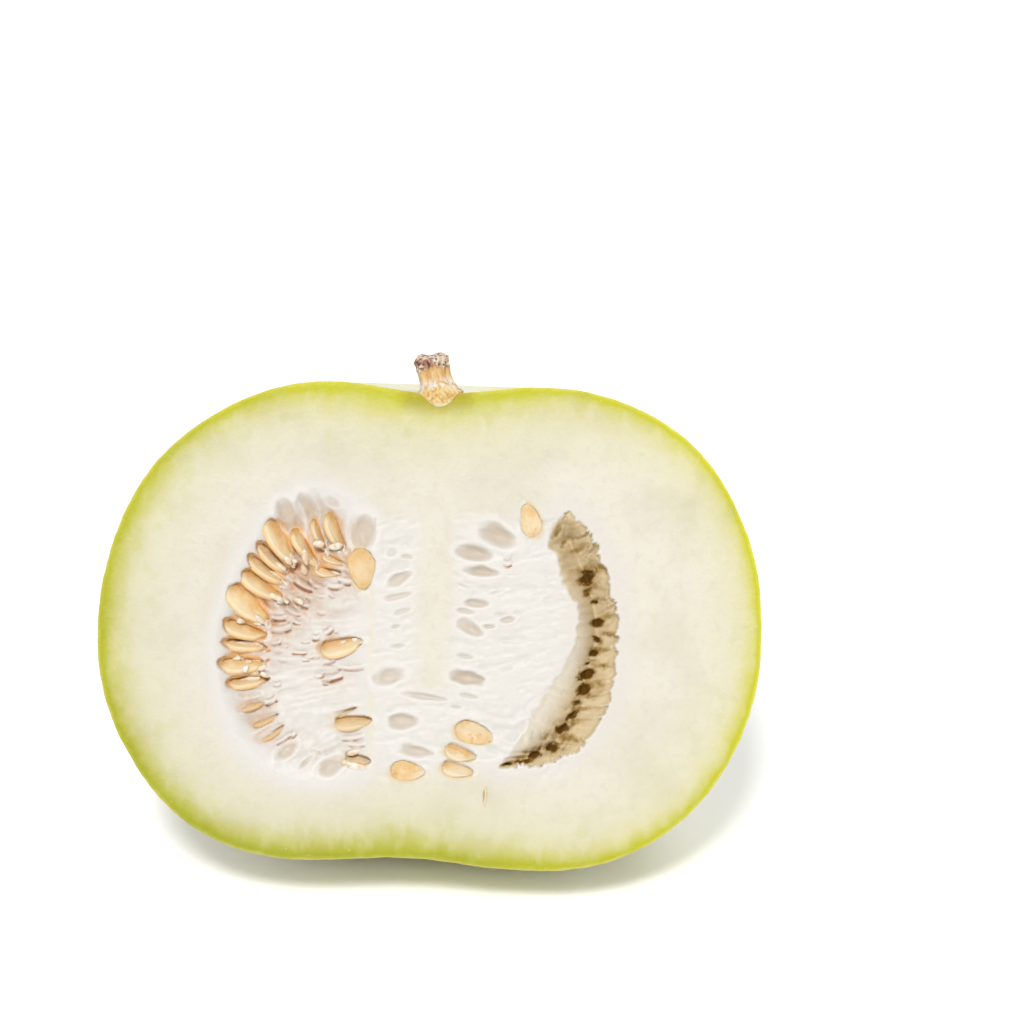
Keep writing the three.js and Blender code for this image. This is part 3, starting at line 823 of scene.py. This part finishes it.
def makeMelon(materials):
    low, high = fruit["coreHeights"]
    columns = np.concatenate([np.arange(*stretch) for stretch in fruit["columns"]])
    left, right = columns[0], columns[-1]
    rows = np.linspace(low, high, fruit["rows"])
    x, z = (a.ravel() for a in np.meshgrid(columns, rows))
    relief = Relief(x, z)
    toBorder = np.minimum.reduce([x - left, right - x, z - low, high - z])
    relief.depth *= smoothStep(0, 2, toBorder)
    builder = MeshBuilder()
    core = builder.add(np.stack([x, relief.depth, z], -1), sunk=relief.depth, **relief.masks)
    core = core.reshape(len(rows), len(columns))
    builder.sheet(core)

    # loops from the core's border out to the rim
    middleX, middleZ = (left + right) / 2, (low + high) / 2
    halfWide, halfTall = (right - left) / 2, (high - low) / 2
    rimTurns = turnsOf(fruit["rimCount"])
    rim = rindPoints(np.cos(rimTurns), np.zeros_like(rimTurns), np.sin(rimTurns))
    rim[:, 1] = 0
    chips = 1 + fruit["rimChips"] * layeredGrain(onSheet(rim[:, 0], rim[:, 2], 1.8), 2, 42) / 80
    rim *= chips[:, None]
    rimAngles = np.mod(np.arctan2(rim[:, 2] - middleZ, rim[:, 0] - middleX), 2 * math.pi)
    order = np.argsort(rimAngles)
    rimReach = np.hypot(rim[:, 0] - middleX, rim[:, 2] - middleZ)
    border = np.concatenate([core[0, :-1], core[:-1, -1], core[-1, :0:-1], core[:0:-1, 0]])
    borderAngles = np.mod(np.arctan2(z[border] - middleZ, x[border] - middleX), 2 * math.pi)
    start = int(np.argmin(borderAngles))
    previous = np.roll(border, -start), np.roll(borderAngles, -start)
    for share, count in fruit["fleshLoops"]:
        turns = turnsOf(count, 0.5)
        across, up = np.cos(turns), np.sin(turns)
        reachOut = np.interp(turns, rimAngles[order], rimReach[order], period=2 * math.pi)
        reachIn = 1 / np.maximum(np.abs(across) / halfWide, np.abs(up) / halfTall)
        reach = reachIn + (reachOut - reachIn) * share
        loopX, loopZ = middleX + reach * across, middleZ + reach * up
        wave = fruit["waves"] * layeredGrain(onSheet(loopX, loopZ, 9), 2, 41) * smoothStep(0, 0.2, share)
        loop = builder.add(np.stack([loopX, wave - wave.min(), loopZ], -1))
        builder.zip(*previous, loop, turns)
        previous = loop, turns
    rimLoop = builder.add(rim[order])
    builder.zip(*previous, rimLoop, rimAngles[order])

    # the rind, in loops from the rim to the middle of the back
    previous = rimLoop[np.argsort(order)], rimTurns
    loops = fruit["rindLoops"]
    for loopNumber in range(1, loops):
        lift = (loopNumber / loops) ** 1.25 * math.pi / 2
        fewer = min(fruit["rimCount"] * 0.62 * math.cos(lift), 760 - 60 * loopNumber)
        count = max(24, int(fewer))
        turns = turnsOf(count)
        across, up = np.cos(turns) * math.cos(lift), np.sin(turns) * math.cos(lift)
        loop = builder.add(rindPoints(across, np.full(count, math.sin(lift)), up))
        builder.zip(*previous, loop, turns, kind=1)
        previous = loop, turns
    back = builder.add(rindPoints(np.zeros(1), np.ones(1), np.zeros(1)))
    builder.fan(previous[0], back[0], kind=1, flip=True)

    points = np.concatenate(builder.points)
    for name, value in rimMasks(points, rim).items():
        builder.values[name] = [(np.arange(len(points)), value)]

    def restOnFloor(points):
        world = toWorld(points)
        world[:, 2] = np.maximum(world[:, 2], 0)
        return world

    mesh = builder.mesh("melonHalf", restOnFloor)
    print("melon:", len(mesh.vertices), "points")
    addPiece("melonHalf", mesh, materials, ["melon_half"])


# For every point: how far from the rim it lies, on which side, and what is near
def rimMasks(points, rim):
    across, up = points[:, 0], points[:, 2]
    toRim = insideDistance(across, up, rim[::3][:, [0, 2]])
    degrees, fading, sunny = np.array(fruit["greening"]).T
    around = np.degrees(np.arctan2(up, across))
    fading, sunny = (np.interp(around, degrees, values, period=360) for values in (fading, sunny))
    blend = smoothStep(0, 30, toRim)  # the directions stop mattering deep in the flesh
    toRim *= fading + (1 - fading) * blend
    # painted light: deep in the flesh, the right and upper side is painted as lit
    sunny = sunny * (1 - blend) + blend * smoothStep(-80, 80, across + 0.2 * up)
    # white flesh borders the hollows
    outerEdge, innerEdge = smoothCurve(gap["outerEdge"], 40), smoothCurve(gap["innerEdge"], 40)
    hollows = smoothCurve(chamber["outline"], 60, closed=True), np.concatenate([outerEdge, innerEdge[::-1]])
    toHollow = np.maximum.reduce([insideDistance(across, up, outline) for outline in hollows])
    toHollow += 1.6 * layeredGrain(onSheet(across, up, 7), 3, 43)
    toStem = np.linalg.norm(points - fruit["stemFoot"], axis=1) + 2.5 * layeredGrain(points / 5, 3, 44)
    return {"toRim": np.clip(toRim, 0, 60), "sunny": sunny, "halo": smoothStep(-7.5, -1.0, toHollow),
            "nearStem": smoothStep(17, 6, toStem)}


rampReach = 40  # how far in from the rim the colour ramps run, in mm


def fleshFinish():
    f = Finish("melon flesh", IOR=1.38, Specular_IOR_Level=0.3, Subsurface_Weight=0.3,
               Subsurface_Scale=0.003, Subsurface_Radius=(1.0, 0.85, 0.7))
    cloudy, grainy, blotchy = f.noise(55, 4), f.noise(420, 4), f.noise(150, 4)
    wisps = f.noise(260, 3, f.stretch((1, 1, 0.3)))
    into = f.mask("toRim")  # in mm from the rim
    toRim = into * (0.6 + blotchy * 0.8) + (grainy - 0.5) * 1.2 + (wisps - 0.5) * into.between(0, 7) * 3
    toRim = (toRim + (cloudy - 0.5) * into.between(0, 6) * 4) * (1 / rampReach)
    # painted light and shade: a lit and a shaded copy of the flesh colours, mixed by the sunny mask
    sunnySide = f.ramp(toRim, [
        (0.0, 238, 230, 112), (0.012, 232, 226, 66), (0.024, 220, 217, 40), (0.042, 221, 218, 66),
        (0.06, 229, 223, 112), (0.095, 235, 229, 150), (0.155, 240, 233, 184), (0.28, 243, 237, 207),
        (0.6, 246, 240, 224),
    ])
    shadySide = f.ramp(toRim, [
        (0.0, 206, 198, 98), (0.012, 182, 185, 56), (0.024, 176, 182, 38), (0.042, 188, 189, 62),
        (0.065, 198, 196, 92), (0.105, 213, 209, 136), (0.16, 228, 223, 180), (0.23, 237, 231, 204),
        (0.6, 243, 237, 221),
    ])
    sunk, edge, tan = f.mask("sunk"), f.mask("edge"), f.mask("tan")
    pink, hollow = f.mask("pink"), f.mask("hollow")
    strands = f.noise(500, 3)
    edging = 1 - into.between(5, 22)
    # painted glints: small white dots near the rim stand in for reflections on the wet flesh
    paintedGlints = (1 - f.cells(380).between(0.03, 0.1)) * (1 - into.between(2, 8))
    stained = (f.mask("nearStem") + (grainy - 0.5) * 0.5).between(0.3, 1.1) * (1 - into.between(1.5, 5))
    colour = f.coats(
        f.mix(f.mask("sunny"), shadySide, sunnySide),
        (blotchy.between(0.52, 0.66) * edging * 0.3, (212, 213, 112)),
        (wisps.between(0.5, 0.64) * edging * into.between(0.5, 3) * 0.14, (248, 244, 204)),
    )
    colour = f.mix(cloudy.between(0.45, 0.7) * 0.25, colour, (0.72, 0.7, 0.52), "MULTIPLY")
    colour = f.coats(
        colour,
        (grainy.between(0.5, 0.66) * into.between(4, 16) * 0.3, (228, 221, 204)),
        (paintedGlints * 0.4, (252, 248, 206)),
        (stained * 0.6, (176, 158, 18)),
        (f.mask("halo") * (0.6 + grainy * 0.5), (241, 235, 226)),
        (f.mask("cotton") * 0.85, (244, 240, 233)),
        # partly painted shade: the pink of the chamber's pulp grows with its depth
        (pink * sunk.between(0, 5), (231, 208, 187)),
        # painted shade in the empty cells
        (hollow * 0.8, (232, 214, 192)),
        (f.mask("gold") * 0.8, (238, 210, 154)),
        (f.mask("strand") * strands.between(0.3, 0.6) * 0.5, (246, 236, 204)),
        # painted warm shade in the pulp by the seeds' deep sides, in crevices, in pits and round the slits
        (f.mask("glow") * (0.5 + strands.between(0.2, 0.7) * 0.5), (238, 166, 92)),
        # painted shade: orange-brown where the chamber sinks deepest
        (pink * sunk.between(3.4, 7) * (1 - hollow) * 0.7, (226, 160, 100)),
        # painted shade along the seeds' covered edges
        (edge * (0.3 + strands.between(0.3, 0.7) * 0.6), (216, 162, 100)),
    )
    # the gap's walls: tan painted as shade and bounce light, cream painted as light on the lower inner
    # wall, creases painted as shade
    wallShading = f.mix(f.mask("cream"), shade(242, 220, 178), shade(255, 246, 226))
    colour = f.mix(tan, colour, f.coats(wallShading, (f.mask("crease") * 0.6, (196, 164, 110))))
    # painted shade: slits, crevices and the gap's holes, darker the deeper they sink
    shadowed = f.mask("brown") + (strands - 0.5) * 0.9
    holes = f.mix(shadowed.between(0.35, 0.95), shade(190, 154, 84), shade(110, 74, 10))
    slitShade = f.mix(sunk.between(3.5, 7), shade(182, 126, 84), shade(170, 106, 56))
    shadeAmount = f.mix(tan, f.mask("brown"), shadowed).between(0.0, 0.7)
    colour = f.mix(shadeAmount, colour, f.mix(tan, slitShade, holes))
    # white pulp on the scraps and seed tips, and painted highlights on the empty cells' raised lips
    colour = f.coats(colour, (f.mask("lit") * 0.8, (250, 245, 238)))
    # painted glow: emission in the slots along the seeds' edges stands in for light through the pulp
    paintedGlow = f.mix(edge * sunk.between(1.2, 4), (0, 0, 0), (0.8, 0.5, 0.2))  # light through the pulp
    relief = f.noise(900, 4) + cloudy * 0.6 + wisps * edging * 0.6
    return f.paint(Base_Color=colour, Roughness=0.42 + tan * 0.35, Emission_Color=paintedGlow,
                   Emission_Strength=0.32, Normal=f.bump(relief, 0.3, 0.0005))


def rindFinish():
    f = Finish("melon rind", IOR=1.4, Specular_IOR_Level=0.3, Subsurface_Weight=0.1, Subsurface_Scale=0.002)
    patches, mottled, flecked = f.noise(20, 4), f.noise(620, 4, distortion=0.3), f.noise(1700, 3)
    colour = f.mix(patches.between(0.35, 0.66), shade(244, 241, 216), shade(239, 237, 184))
    spots = (mottled * 0.6 + flecked * 0.4).between(0.44, 0.62)
    pores = f.cells(420)
    poreMask = (1 - pores.between(0.1, 0.36)) * mottled.between(0.42, 0.6)
    bloom = f.noise(36, 5).between(0.46, 0.68) * 0.6 + f.mask("nearStem")  # the waxy white bloom
    specks = (1 - f.cells(150).between(0.03, 0.05)) * flecked.between(0.4, 0.6)
    colour = f.coats(
        colour,
        (spots * (0.15 + patches.between(0.4, 0.64) * 0.5), (214, 216, 112)),
        (poreMask * 0.45, (206, 211, 108)),
        (bloom * (0.35 + mottled * 0.9) * 0.8, (250, 249, 240)),
        (specks * 0.6, (120, 112, 66)),
    )
    colour = f.mix(1.0, colour, (1.3, 1.3, 1.3), "MULTIPLY")  # brighter than the wet flesh
    return f.paint(Base_Color=colour, Roughness=0.48 + bloom * 0.14,
                   Normal=f.bump(mottled * 0.7 + pores * 0.5, 0.15, 0.0003))

# seeds

seed = {
    "turnCount": 56,
    "rings": [0.12, 0.26, 0.4, 0.53, 0.64, 0.73, 0.8, 0.86, 0.91, 0.955, 0.985, 1.0],
    "grown": (1.03, 1.06, 0.86),  # its length, width and thickness against the solid's
    "rimHeight": 0.22,            # of the raised margin, in mm
    "rimAt": (0.84, 0.09),        # where that margin lies and how wide it is
    "bend": 0.35,
    "wrinkles": 0.13,
    "uneven": 0.09,               # its outline
    "pulpHeight": 0.22,           # of the pulp on its pointed end
    "behindCut": 0.05,            # how far behind the cut it stays
}


def makeSeed(place, number):
    builder = MeshBuilder()
    turns = turnsOf(seed["turnCount"])
    c, s = np.cos(turns), np.sin(turns)
    longer, wider, thinner = seed["grown"]
    halfLong, halfWide = place.length / 2 * longer, place.width / 2 * wider
    crownHeight = place.thickness / 2 * thinner
    shift = np.array([17.3 * number, 5.1 * number, 0.0])
    wrinkled = np.array([0.35, 1.2, 1.0])  # wrinkles run lengthwise
    bend = seed["bend"] * math.sin(2.4 * number + 1)
    whole = {"warm": place.warmth, "shadowy": max(0.0, -place.axes[2, 2]),
             "dim": place.warmth * smoothStep(-14, -22, place.centre[2])}

    def ring(r, side):
        along = c * r
        wide = s * r * (1 - seedTaper * c * r) * (1 - 0.1 * smoothStep(0.5, 1, along))
        height = 0.06
        if r < 1:
            height = crownHeight * (1 - r ** 5) ** 0.5 + seed["rimHeight"] * hump(r, *seed["rimAt"])
        local = np.stack([along * halfLong, wide * halfWide, np.full_like(c, side * height)], -1)
        noise = layeredGrain(local * wrinkled + shift, 2, 51)
        local[:, 2] += side * seed["wrinkles"] * noise * min(1, (1 - r) * 8)
        local[:, :2] *= 1 + seed["uneven"] * layeredGrain(local / 4.2 + shift, 2, 52)[:, None]
        local[:, 1] += bend * (along ** 2 - 0.4)
        # scraps of pulp on the pointed end
        pulp = smoothStep(-0.05, 0.12, along - seedTip - 0.28 * layeredGrain(local / 2.2 + shift, 2, 53))
        local[:, 2] += side * seed["pulpHeight"] * pulp * (0.6 + layeredGrain(local / 0.7 + shift, 2, 54))
        world = place.centre + local @ place.axes
        world[:, 1] = np.maximum(world[:, 1], seed["behindCut"])
        deeper = np.clip(wide * place.steep, -1, 1)
        return builder.add(world, along=along, deeper=deeper, pulp=pulp, margin=r, **whole)

    front = [ring(r, 1) for r in seed["rings"]]
    back = [ring(r, -1) for r in reversed(seed["rings"][:-1])]
    builder.sheet(np.stack(front + back), wrap=True, flip=place.flip)
    for loop, side in ((front[0], 1), (back[-1], -1)):
        middle = place.centre + np.array([0, 0, side * crownHeight]) @ place.axes
        middle[1] = max(middle[1], seed["behindCut"])
        builder.fan(loop, builder.add([middle])[0], flip=(side < 0) == place.flip)
    return builder.mesh(place.name)


def makeSeeds():
    finish = seedFinish()
    for number, place in enumerate(seedPlaces):
        mesh = makeSeed(place, number)
        addPiece("melonSeed" + place.name[-2:], mesh, [finish], [place.name])
    print(len(seedPlaces), "seeds,", len(mesh.vertices), "points in each")


def seedFinish():
    f = Finish("seed skin", Roughness=0.6, Specular_IOR_Level=0.22, Subsurface_Weight=0.25,
               Subsurface_Scale=0.001, Subsurface_Radius=(1.0, 0.8, 0.6))
    grainy, streaks, patchy = f.noise(700, 4), f.noise(260, 3), f.noise(150, 3)
    along, deeper = f.mask("along"), f.mask("deeper") + (streaks - 0.5) * 0.5
    margin, paler = f.mask("margin"), 1 - f.mask("warm")
    warm = (streaks * 0.5 + patchy * 0.5).between(0.41, 0.59)
    clouded = (patchy * 0.4 + streaks * 0.6).between(0.42, 0.58)
    pale = f.coats(
        f.mix(clouded, shade(253, 231, 190), shade(248, 211, 150)),
        ((margin + (patchy - 0.5) * 0.8).between(0.75, 1.0) * 0.7, (248, 222, 178)),
        ((grainy * 0.6 + patchy * 0.4).between(0.54, 0.62) * 0.7, (236, 176, 100)),
    )
    skin = f.mix(paler, f.mix(warm, shade(240, 192, 124), shade(255, 233, 186)), pale)
    shaded = deeper.between(-0.3, 0.75) * (0.5 + along.between(-0.6, 0.7) * 0.45)
    outerEnd = (along * -1 + deeper * 0.3 + (grainy - 0.5) * 0.3).between(0.35, 1.05)
    colour = f.coats(
        skin,
        # painted light on the near edge, and painted shade towards the deep edge
        ((deeper * -1).between(0.05, 0.75) * 0.9, (253, 236, 204)),
        (shaded * (0.9 - paler * 0.35), (230, 158, 78)),
        (margin.between(0.9, 1.0) * 0.6, (246, 196, 124)),
        (outerEnd * (0.85 - paler * 0.6), (206, 160, 92)),
        (f.mask("dim") * 0.5, (206, 164, 112)),
        (f.mask("pulp") * 0.95, (246, 236, 224)),
    )
    # painted light: the warm seeds, which face away from the lamp, are made brighter
    colour = f.mix(1 - paler, colour, (1.08, 1.03, 0.93), "MULTIPLY")
    # painted glow: emission on the deep edges, and on seeds that face down, stands in for light through the
    # pulp
    paintedGlow = deeper.between(0.35, 1.0) * (1 - paler * 0.6) + f.mask("shadowy")  # light through the pulp
    paintedGlow = f.mix(paintedGlow, (0, 0, 0), (0.85, 0.5, 0.2))
    return f.paint(Base_Color=colour, Emission_Color=paintedGlow, Emission_Strength=0.22,
                   Normal=f.bump(grainy + streaks * 1.5 + patchy, 0.4, 0.0005))


# Pale scraps of pulp that hang on the seeds' pointed ends
scraps = {
    "perSeed": 4,
    "turnCount": 18,
    "rings": 13,
    # larger ones: x, z, slope, length, width
    "lumps": [
        (-36.6, 17.2, -40, 2.6, 1.6), (-35.2, 16.9, -10, 2.2, 1.4), (-32.2, 18.0, -80, 3.4, 1.9),
        (-32.6, 14.8, -75, 2.8, 1.9), (-28.4, 21.6, -20, 3.0, 1.9), (-24.0, 21.0, 5, 3.4, 1.7),
        (-38.6, 15.6, -35, 3.4, 1.6), (-39.6, 13.2, -28, 4.6, 1.5), (-39.8, 7.6, -22, 4.4, 1.6),
        (-49.0, 1.6, -20, 2.8, 1.7), (-44.4, 0.9, -10, 2.2, 1.2), (-46.6, -4.6, -4, 7.4, 1.3),
        (-50.0, -11.9, 3, 3.0, 1.6), (-47.6, -11.0, 30, 2.2, 1.5), (-45.4, -12.0, -6, 2.8, 1.6),
        (-43.2, -10.8, 20, 2.4, 1.4), (-42.6, -12.6, -30, 2.2, 1.3), (-46.4, -13.8, 6, 5.6, 1.3),
        (-33.8, 6.6, -26, 3.2, 1.5), (-47.0, -9.4, 0, 2.2, 1.0), (-49.8, -8.4, 0, 3.0, 1.4),
        (-52.0, -11.8, 20, 2.4, 1.4), (-18.6, -36.2, -14, 5.6, 1.8), (-21.6, -35.4, -40, 2.6, 1.6),
        (-26.8, -7.2, 10, 2.2, 1.2), (-19.4, -32.6, 20, 3.4, 1.5), (-22.0, -4.0, 30, 1.8, 1.0),
    ],
}


class LumpPlace:
    def __init__(self, slope):
        c, s = math.cos(math.radians(slope)), math.sin(math.radians(slope))
        self.axes = np.array([[c, 0, s], [-s, 0, c], [0, -1, 0]])
        self.flip = bool(np.linalg.det(self.axes) > 0)


def lumpPlaces():  # a lump lies on whatever is nearest there, pulp or seed
    x, z, slopes = np.array(scraps["lumps"])[:, :3].T
    depth = Relief(x, z).depth
    for place in seedPlaces:
        along, aside, middle = place.under(x, z)
        covered = np.hypot(along / (place.length / 2), aside / (place.width / 2)) < 0.9
        depth = np.where(covered, np.minimum(depth, middle - place.reach), depth)
    middles = np.stack([x, np.maximum(depth, 0.4), z], -1)
    return [(LumpPlace(slope), middle) for slope, middle in zip(slopes, middles)]


def addScrap(builder, place, middle, length, width, number):
    turns = turnsOf(scraps["turnCount"])
    rows = []
    for i in range(1, scraps["rings"]):
        c, s = math.cos(i / scraps["rings"] * math.pi), math.sin(i / scraps["rings"] * math.pi)
        local = np.stack([np.full_like(turns, c), np.cos(turns) * s, np.sin(turns) * s], -1)
        rough = 1 + 0.6 * layeredGrain(local * 1.7 + 9.7 * number, 3, 81)
        local = local * rough[:, None] * [length / 2, width / 2, width / 3.2]
        rows.append(builder.add(middle + local @ place.axes))
    builder.sheet(np.stack(rows), wrap=True, flip=place.flip)
    for row, side in ((rows[0], 1), (rows[-1], -1)):
        tip = builder.add([middle + place.axes[0] * side * length * 0.5])
        builder.fan(row, tip[0], flip=(side < 0) == place.flip)


def makeScraps(material):
    builder = MeshBuilder()
    chance = np.random.default_rng(23)
    number = 0
    for place in seedPlaces:
        count = scraps["perSeed"] if place.warmth > 0.5 and place.steep else 0
        for i in range(count):
            along, aside = chance.uniform(0.62, 1.12), chance.uniform(-0.75, 0.7)
            out = chance.uniform(0.3, 0.9)
            length, width = chance.uniform(1.4, 2.8), chance.uniform(1.1, 1.8)
            aside *= 1 - 0.55 * along  # the pointed end is narrow
            local = [along * place.length / 2, aside * place.width / 2, place.thickness * 0.4 * out + 0.25]
            middle = place.centre + local @ place.axes
            middle[1] = max(middle[1], 0.8)
            addScrap(builder, place, middle, length, width, number)
            number += 1
    for (place, middle), lump in zip(lumpPlaces(), scraps["lumps"]):
        addScrap(builder, place, middle, *lump[3:], number)
        number += 1
    mesh = builder.mesh("pulpScraps")
    addPiece("pulpScraps", mesh, [material])
    print(number, "scraps of pulp,", len(mesh.vertices), "points")


def scrapFinish():
    f = Finish("pulp scraps", Roughness=0.4, Subsurface_Weight=0.15, Subsurface_Scale=0.001,
               Subsurface_Radius=(1.0, 0.8, 0.6))
    grainy = f.noise(600, 3)
    colour = f.mix(grainy.between(0.35, 0.62), shade(255, 248, 234), shade(248, 214, 172))
    return f.paint(Base_Color=colour, Normal=f.bump(grainy, 0.25, 0.0004))

# stem

stem = {
    "foot": (3.0, 3.6, 57.2),
    "lean": math.radians(11),
    # height above the foot and radius, from the root in the flesh to the dry tip
    "outline": [
        (-1.2, 1.6), (-0.7, 2.9), (0.4, 4.0), (1.8, 4.9), (2.9, 5.7), (3.6, 6.3), (4.2, 5.6), (5.0, 4.6),
        (7, 4.15), (9, 4.2), (10.6, 4.45), (11.8, 4.75), (12.6, 4.6),
    ],
    "rows": 84,
    "turnCount": 108,
    "capRings": 14,
    "lobes": [(-0.52, 0.0, 1.5, 0.44), (0.46, 0.1, 1.0, 0.42)],  # across, into, height, spread
    "ribs": [(5, 0.4, 0, 0.075), (9, 1, 0.12, 0.04)],  # how many, their turn, twist and height
    # the heights between which the ribs rise, it leans over, and it turns dry
    "ribbed": (3.2, 5.5),
    "leaning": (1.5, 8),
    "dry": (8.6, 11),
    "clear": 0.95,           # how far behind the cut the neck stands
    "cork": (0.28, 0.34),    # how far the root's corky face stands out of the cut, and how uneven it is
}


def makeStem():
    builder = MeshBuilder()
    turns = turnsOf(stem["turnCount"])
    c, s = np.cos(turns), np.sin(turns)

    def ring(height, radius, inward=1.0, top=0.0):
        dry, lean = smoothStep(*stem["dry"], height), stem["lean"] * smoothStep(*stem["leaning"], height)
        x, y, z = c * radius * inward, s * radius * inward, np.full_like(c, height)
        ribs = sum(rise * np.cos(count * turns + turn + twist * height)
                   for count, turn, twist, rise in stem["ribs"])
        ribs *= smoothStep(*stem["ribbed"], height) * (1 - 0.7 * dry) * inward
        rough = layeredGrain(np.stack([x, y, z + top], -1) / 1.5, 3, 71)
        streaks = grain(np.stack([c * 7, s * 7, z / 5], -1), 72)
        grow = 1 + ribs + (0.02 + 0.1 * dry) * rough + 0.035 * streaks * smoothStep(3.5, 6, height)
        grow += 0.035 * math.sin(height * 2.1) * dry
        for a, b, lift, size in stem["lobes"]:
            z += top * lift * np.exp(-((c * inward - a) ** 2 + (s * inward - b) ** 2) / size ** 2)
        z += 0.55 * rough * top
        x, y = x * grow, y * grow + stem["clear"] * smoothStep(4.2, 7, height)
        leanC, leanS = math.cos(lean), math.sin(lean)
        points = np.stack([x * leanC - z * leanS, y, x * leanS + z * leanC], -1) + stem["foot"]
        cut = smoothStep(0.25, -0.15, points[:, 1])
        # the root is cut through: what would stand out of the cut becomes its corky face
        proud, uneven = stem["cork"]
        face = -proud - uneven * layeredGrain(onSheet(points[:, 0], points[:, 2], 0.9), 3, 73)
        points[:, 1] = np.where(points[:, 1] < 0.05, face, points[:, 1])
        return builder.add(points, cork=cut * (1 - smoothStep(4.4, 5.6, height)), high=height + 0.7 * rough,
                           crest=ribs * 8 + streaks * 0.5, lip=smoothStep(1.2, 0.2, height),
                           knots=rough * max(dry, top))

    outline = smoothCurve(stem["outline"], stem["rows"])
    rows = [ring(height, radius) for height, radius in outline]
    topHeight, topRadius = outline[-1]
    for i in range(1, stem["capRings"]):
        share = 1 - i / stem["capRings"]
        height, top = topHeight + 0.35 * (1 - share ** 4), float(smoothStep(0, 0.35, 1 - share))
        rows.append(ring(height, topRadius, share, top))
    builder.sheet(np.stack(rows), wrap=True)
    for row, high, flip in ((rows[-1], topHeight + 0.6, False), (rows[0], 0, True)):
        middle = builder.add([np.concatenate(builder.points)[row].mean(0)], high=high)
        builder.fan(row, middle[0], flip=flip)
    mesh = builder.mesh("melonStem")
    addPiece("melonStem", mesh, [stemFinish()], ["stem_stub"])
    print("stem:", len(mesh.vertices), "points")


def stemFinish():
    f = Finish("dry stem", Roughness=0.75, Specular_IOR_Level=0.25, Subsurface_Weight=0.15,
               Subsurface_Scale=0.001)
    fibres, specks = f.noise(900, 4, f.stretch((1, 1, 0.22))), f.noise(1100, 3)
    high = f.mask("high")
    gold = f.coats(
        f.mix(fibres.between(0.3, 0.7), shade(226, 168, 92), shade(255, 216, 150)),
        # painted highlights on the rib crests, which are made paler
        (f.mask("crest").between(-0.3, 0.9) * 0.6, (248, 216, 160)),
        (high.between(8.4, 5.2) * fibres.between(0.38, 0.54) * 0.95, (255, 250, 240)),  # bloom
    )
    tip = f.mix(f.mask("knots").between(-0.45, 0.3), shade(180, 124, 100), shade(255, 236, 210))
    tip = f.coats(tip, (specks.between(0.51, 0.59) * 0.85, (84, 52, 46)))
    cork = f.mix(specks.between(0.34, 0.62), shade(224, 174, 92), shade(252, 226, 164))
    cork = f.coats(cork, (f.mask("lip") * 0.8, (252, 236, 190)))
    colour = f.mix((high + (fibres - 0.5) * 3).between(8.8, 10.8), gold, tip)
    return f.paint(Base_Color=f.mix(f.mask("cork"), colour, cork),
                   Normal=f.bump(fibres + specks * 0.6, 0.5, 0.0006))

# everything

makeStudio()
print("studio ready")
makeMelon([fleshFinish(), rindFinish()])
makeSeeds()
makeScraps(scrapFinish())
makeStem()
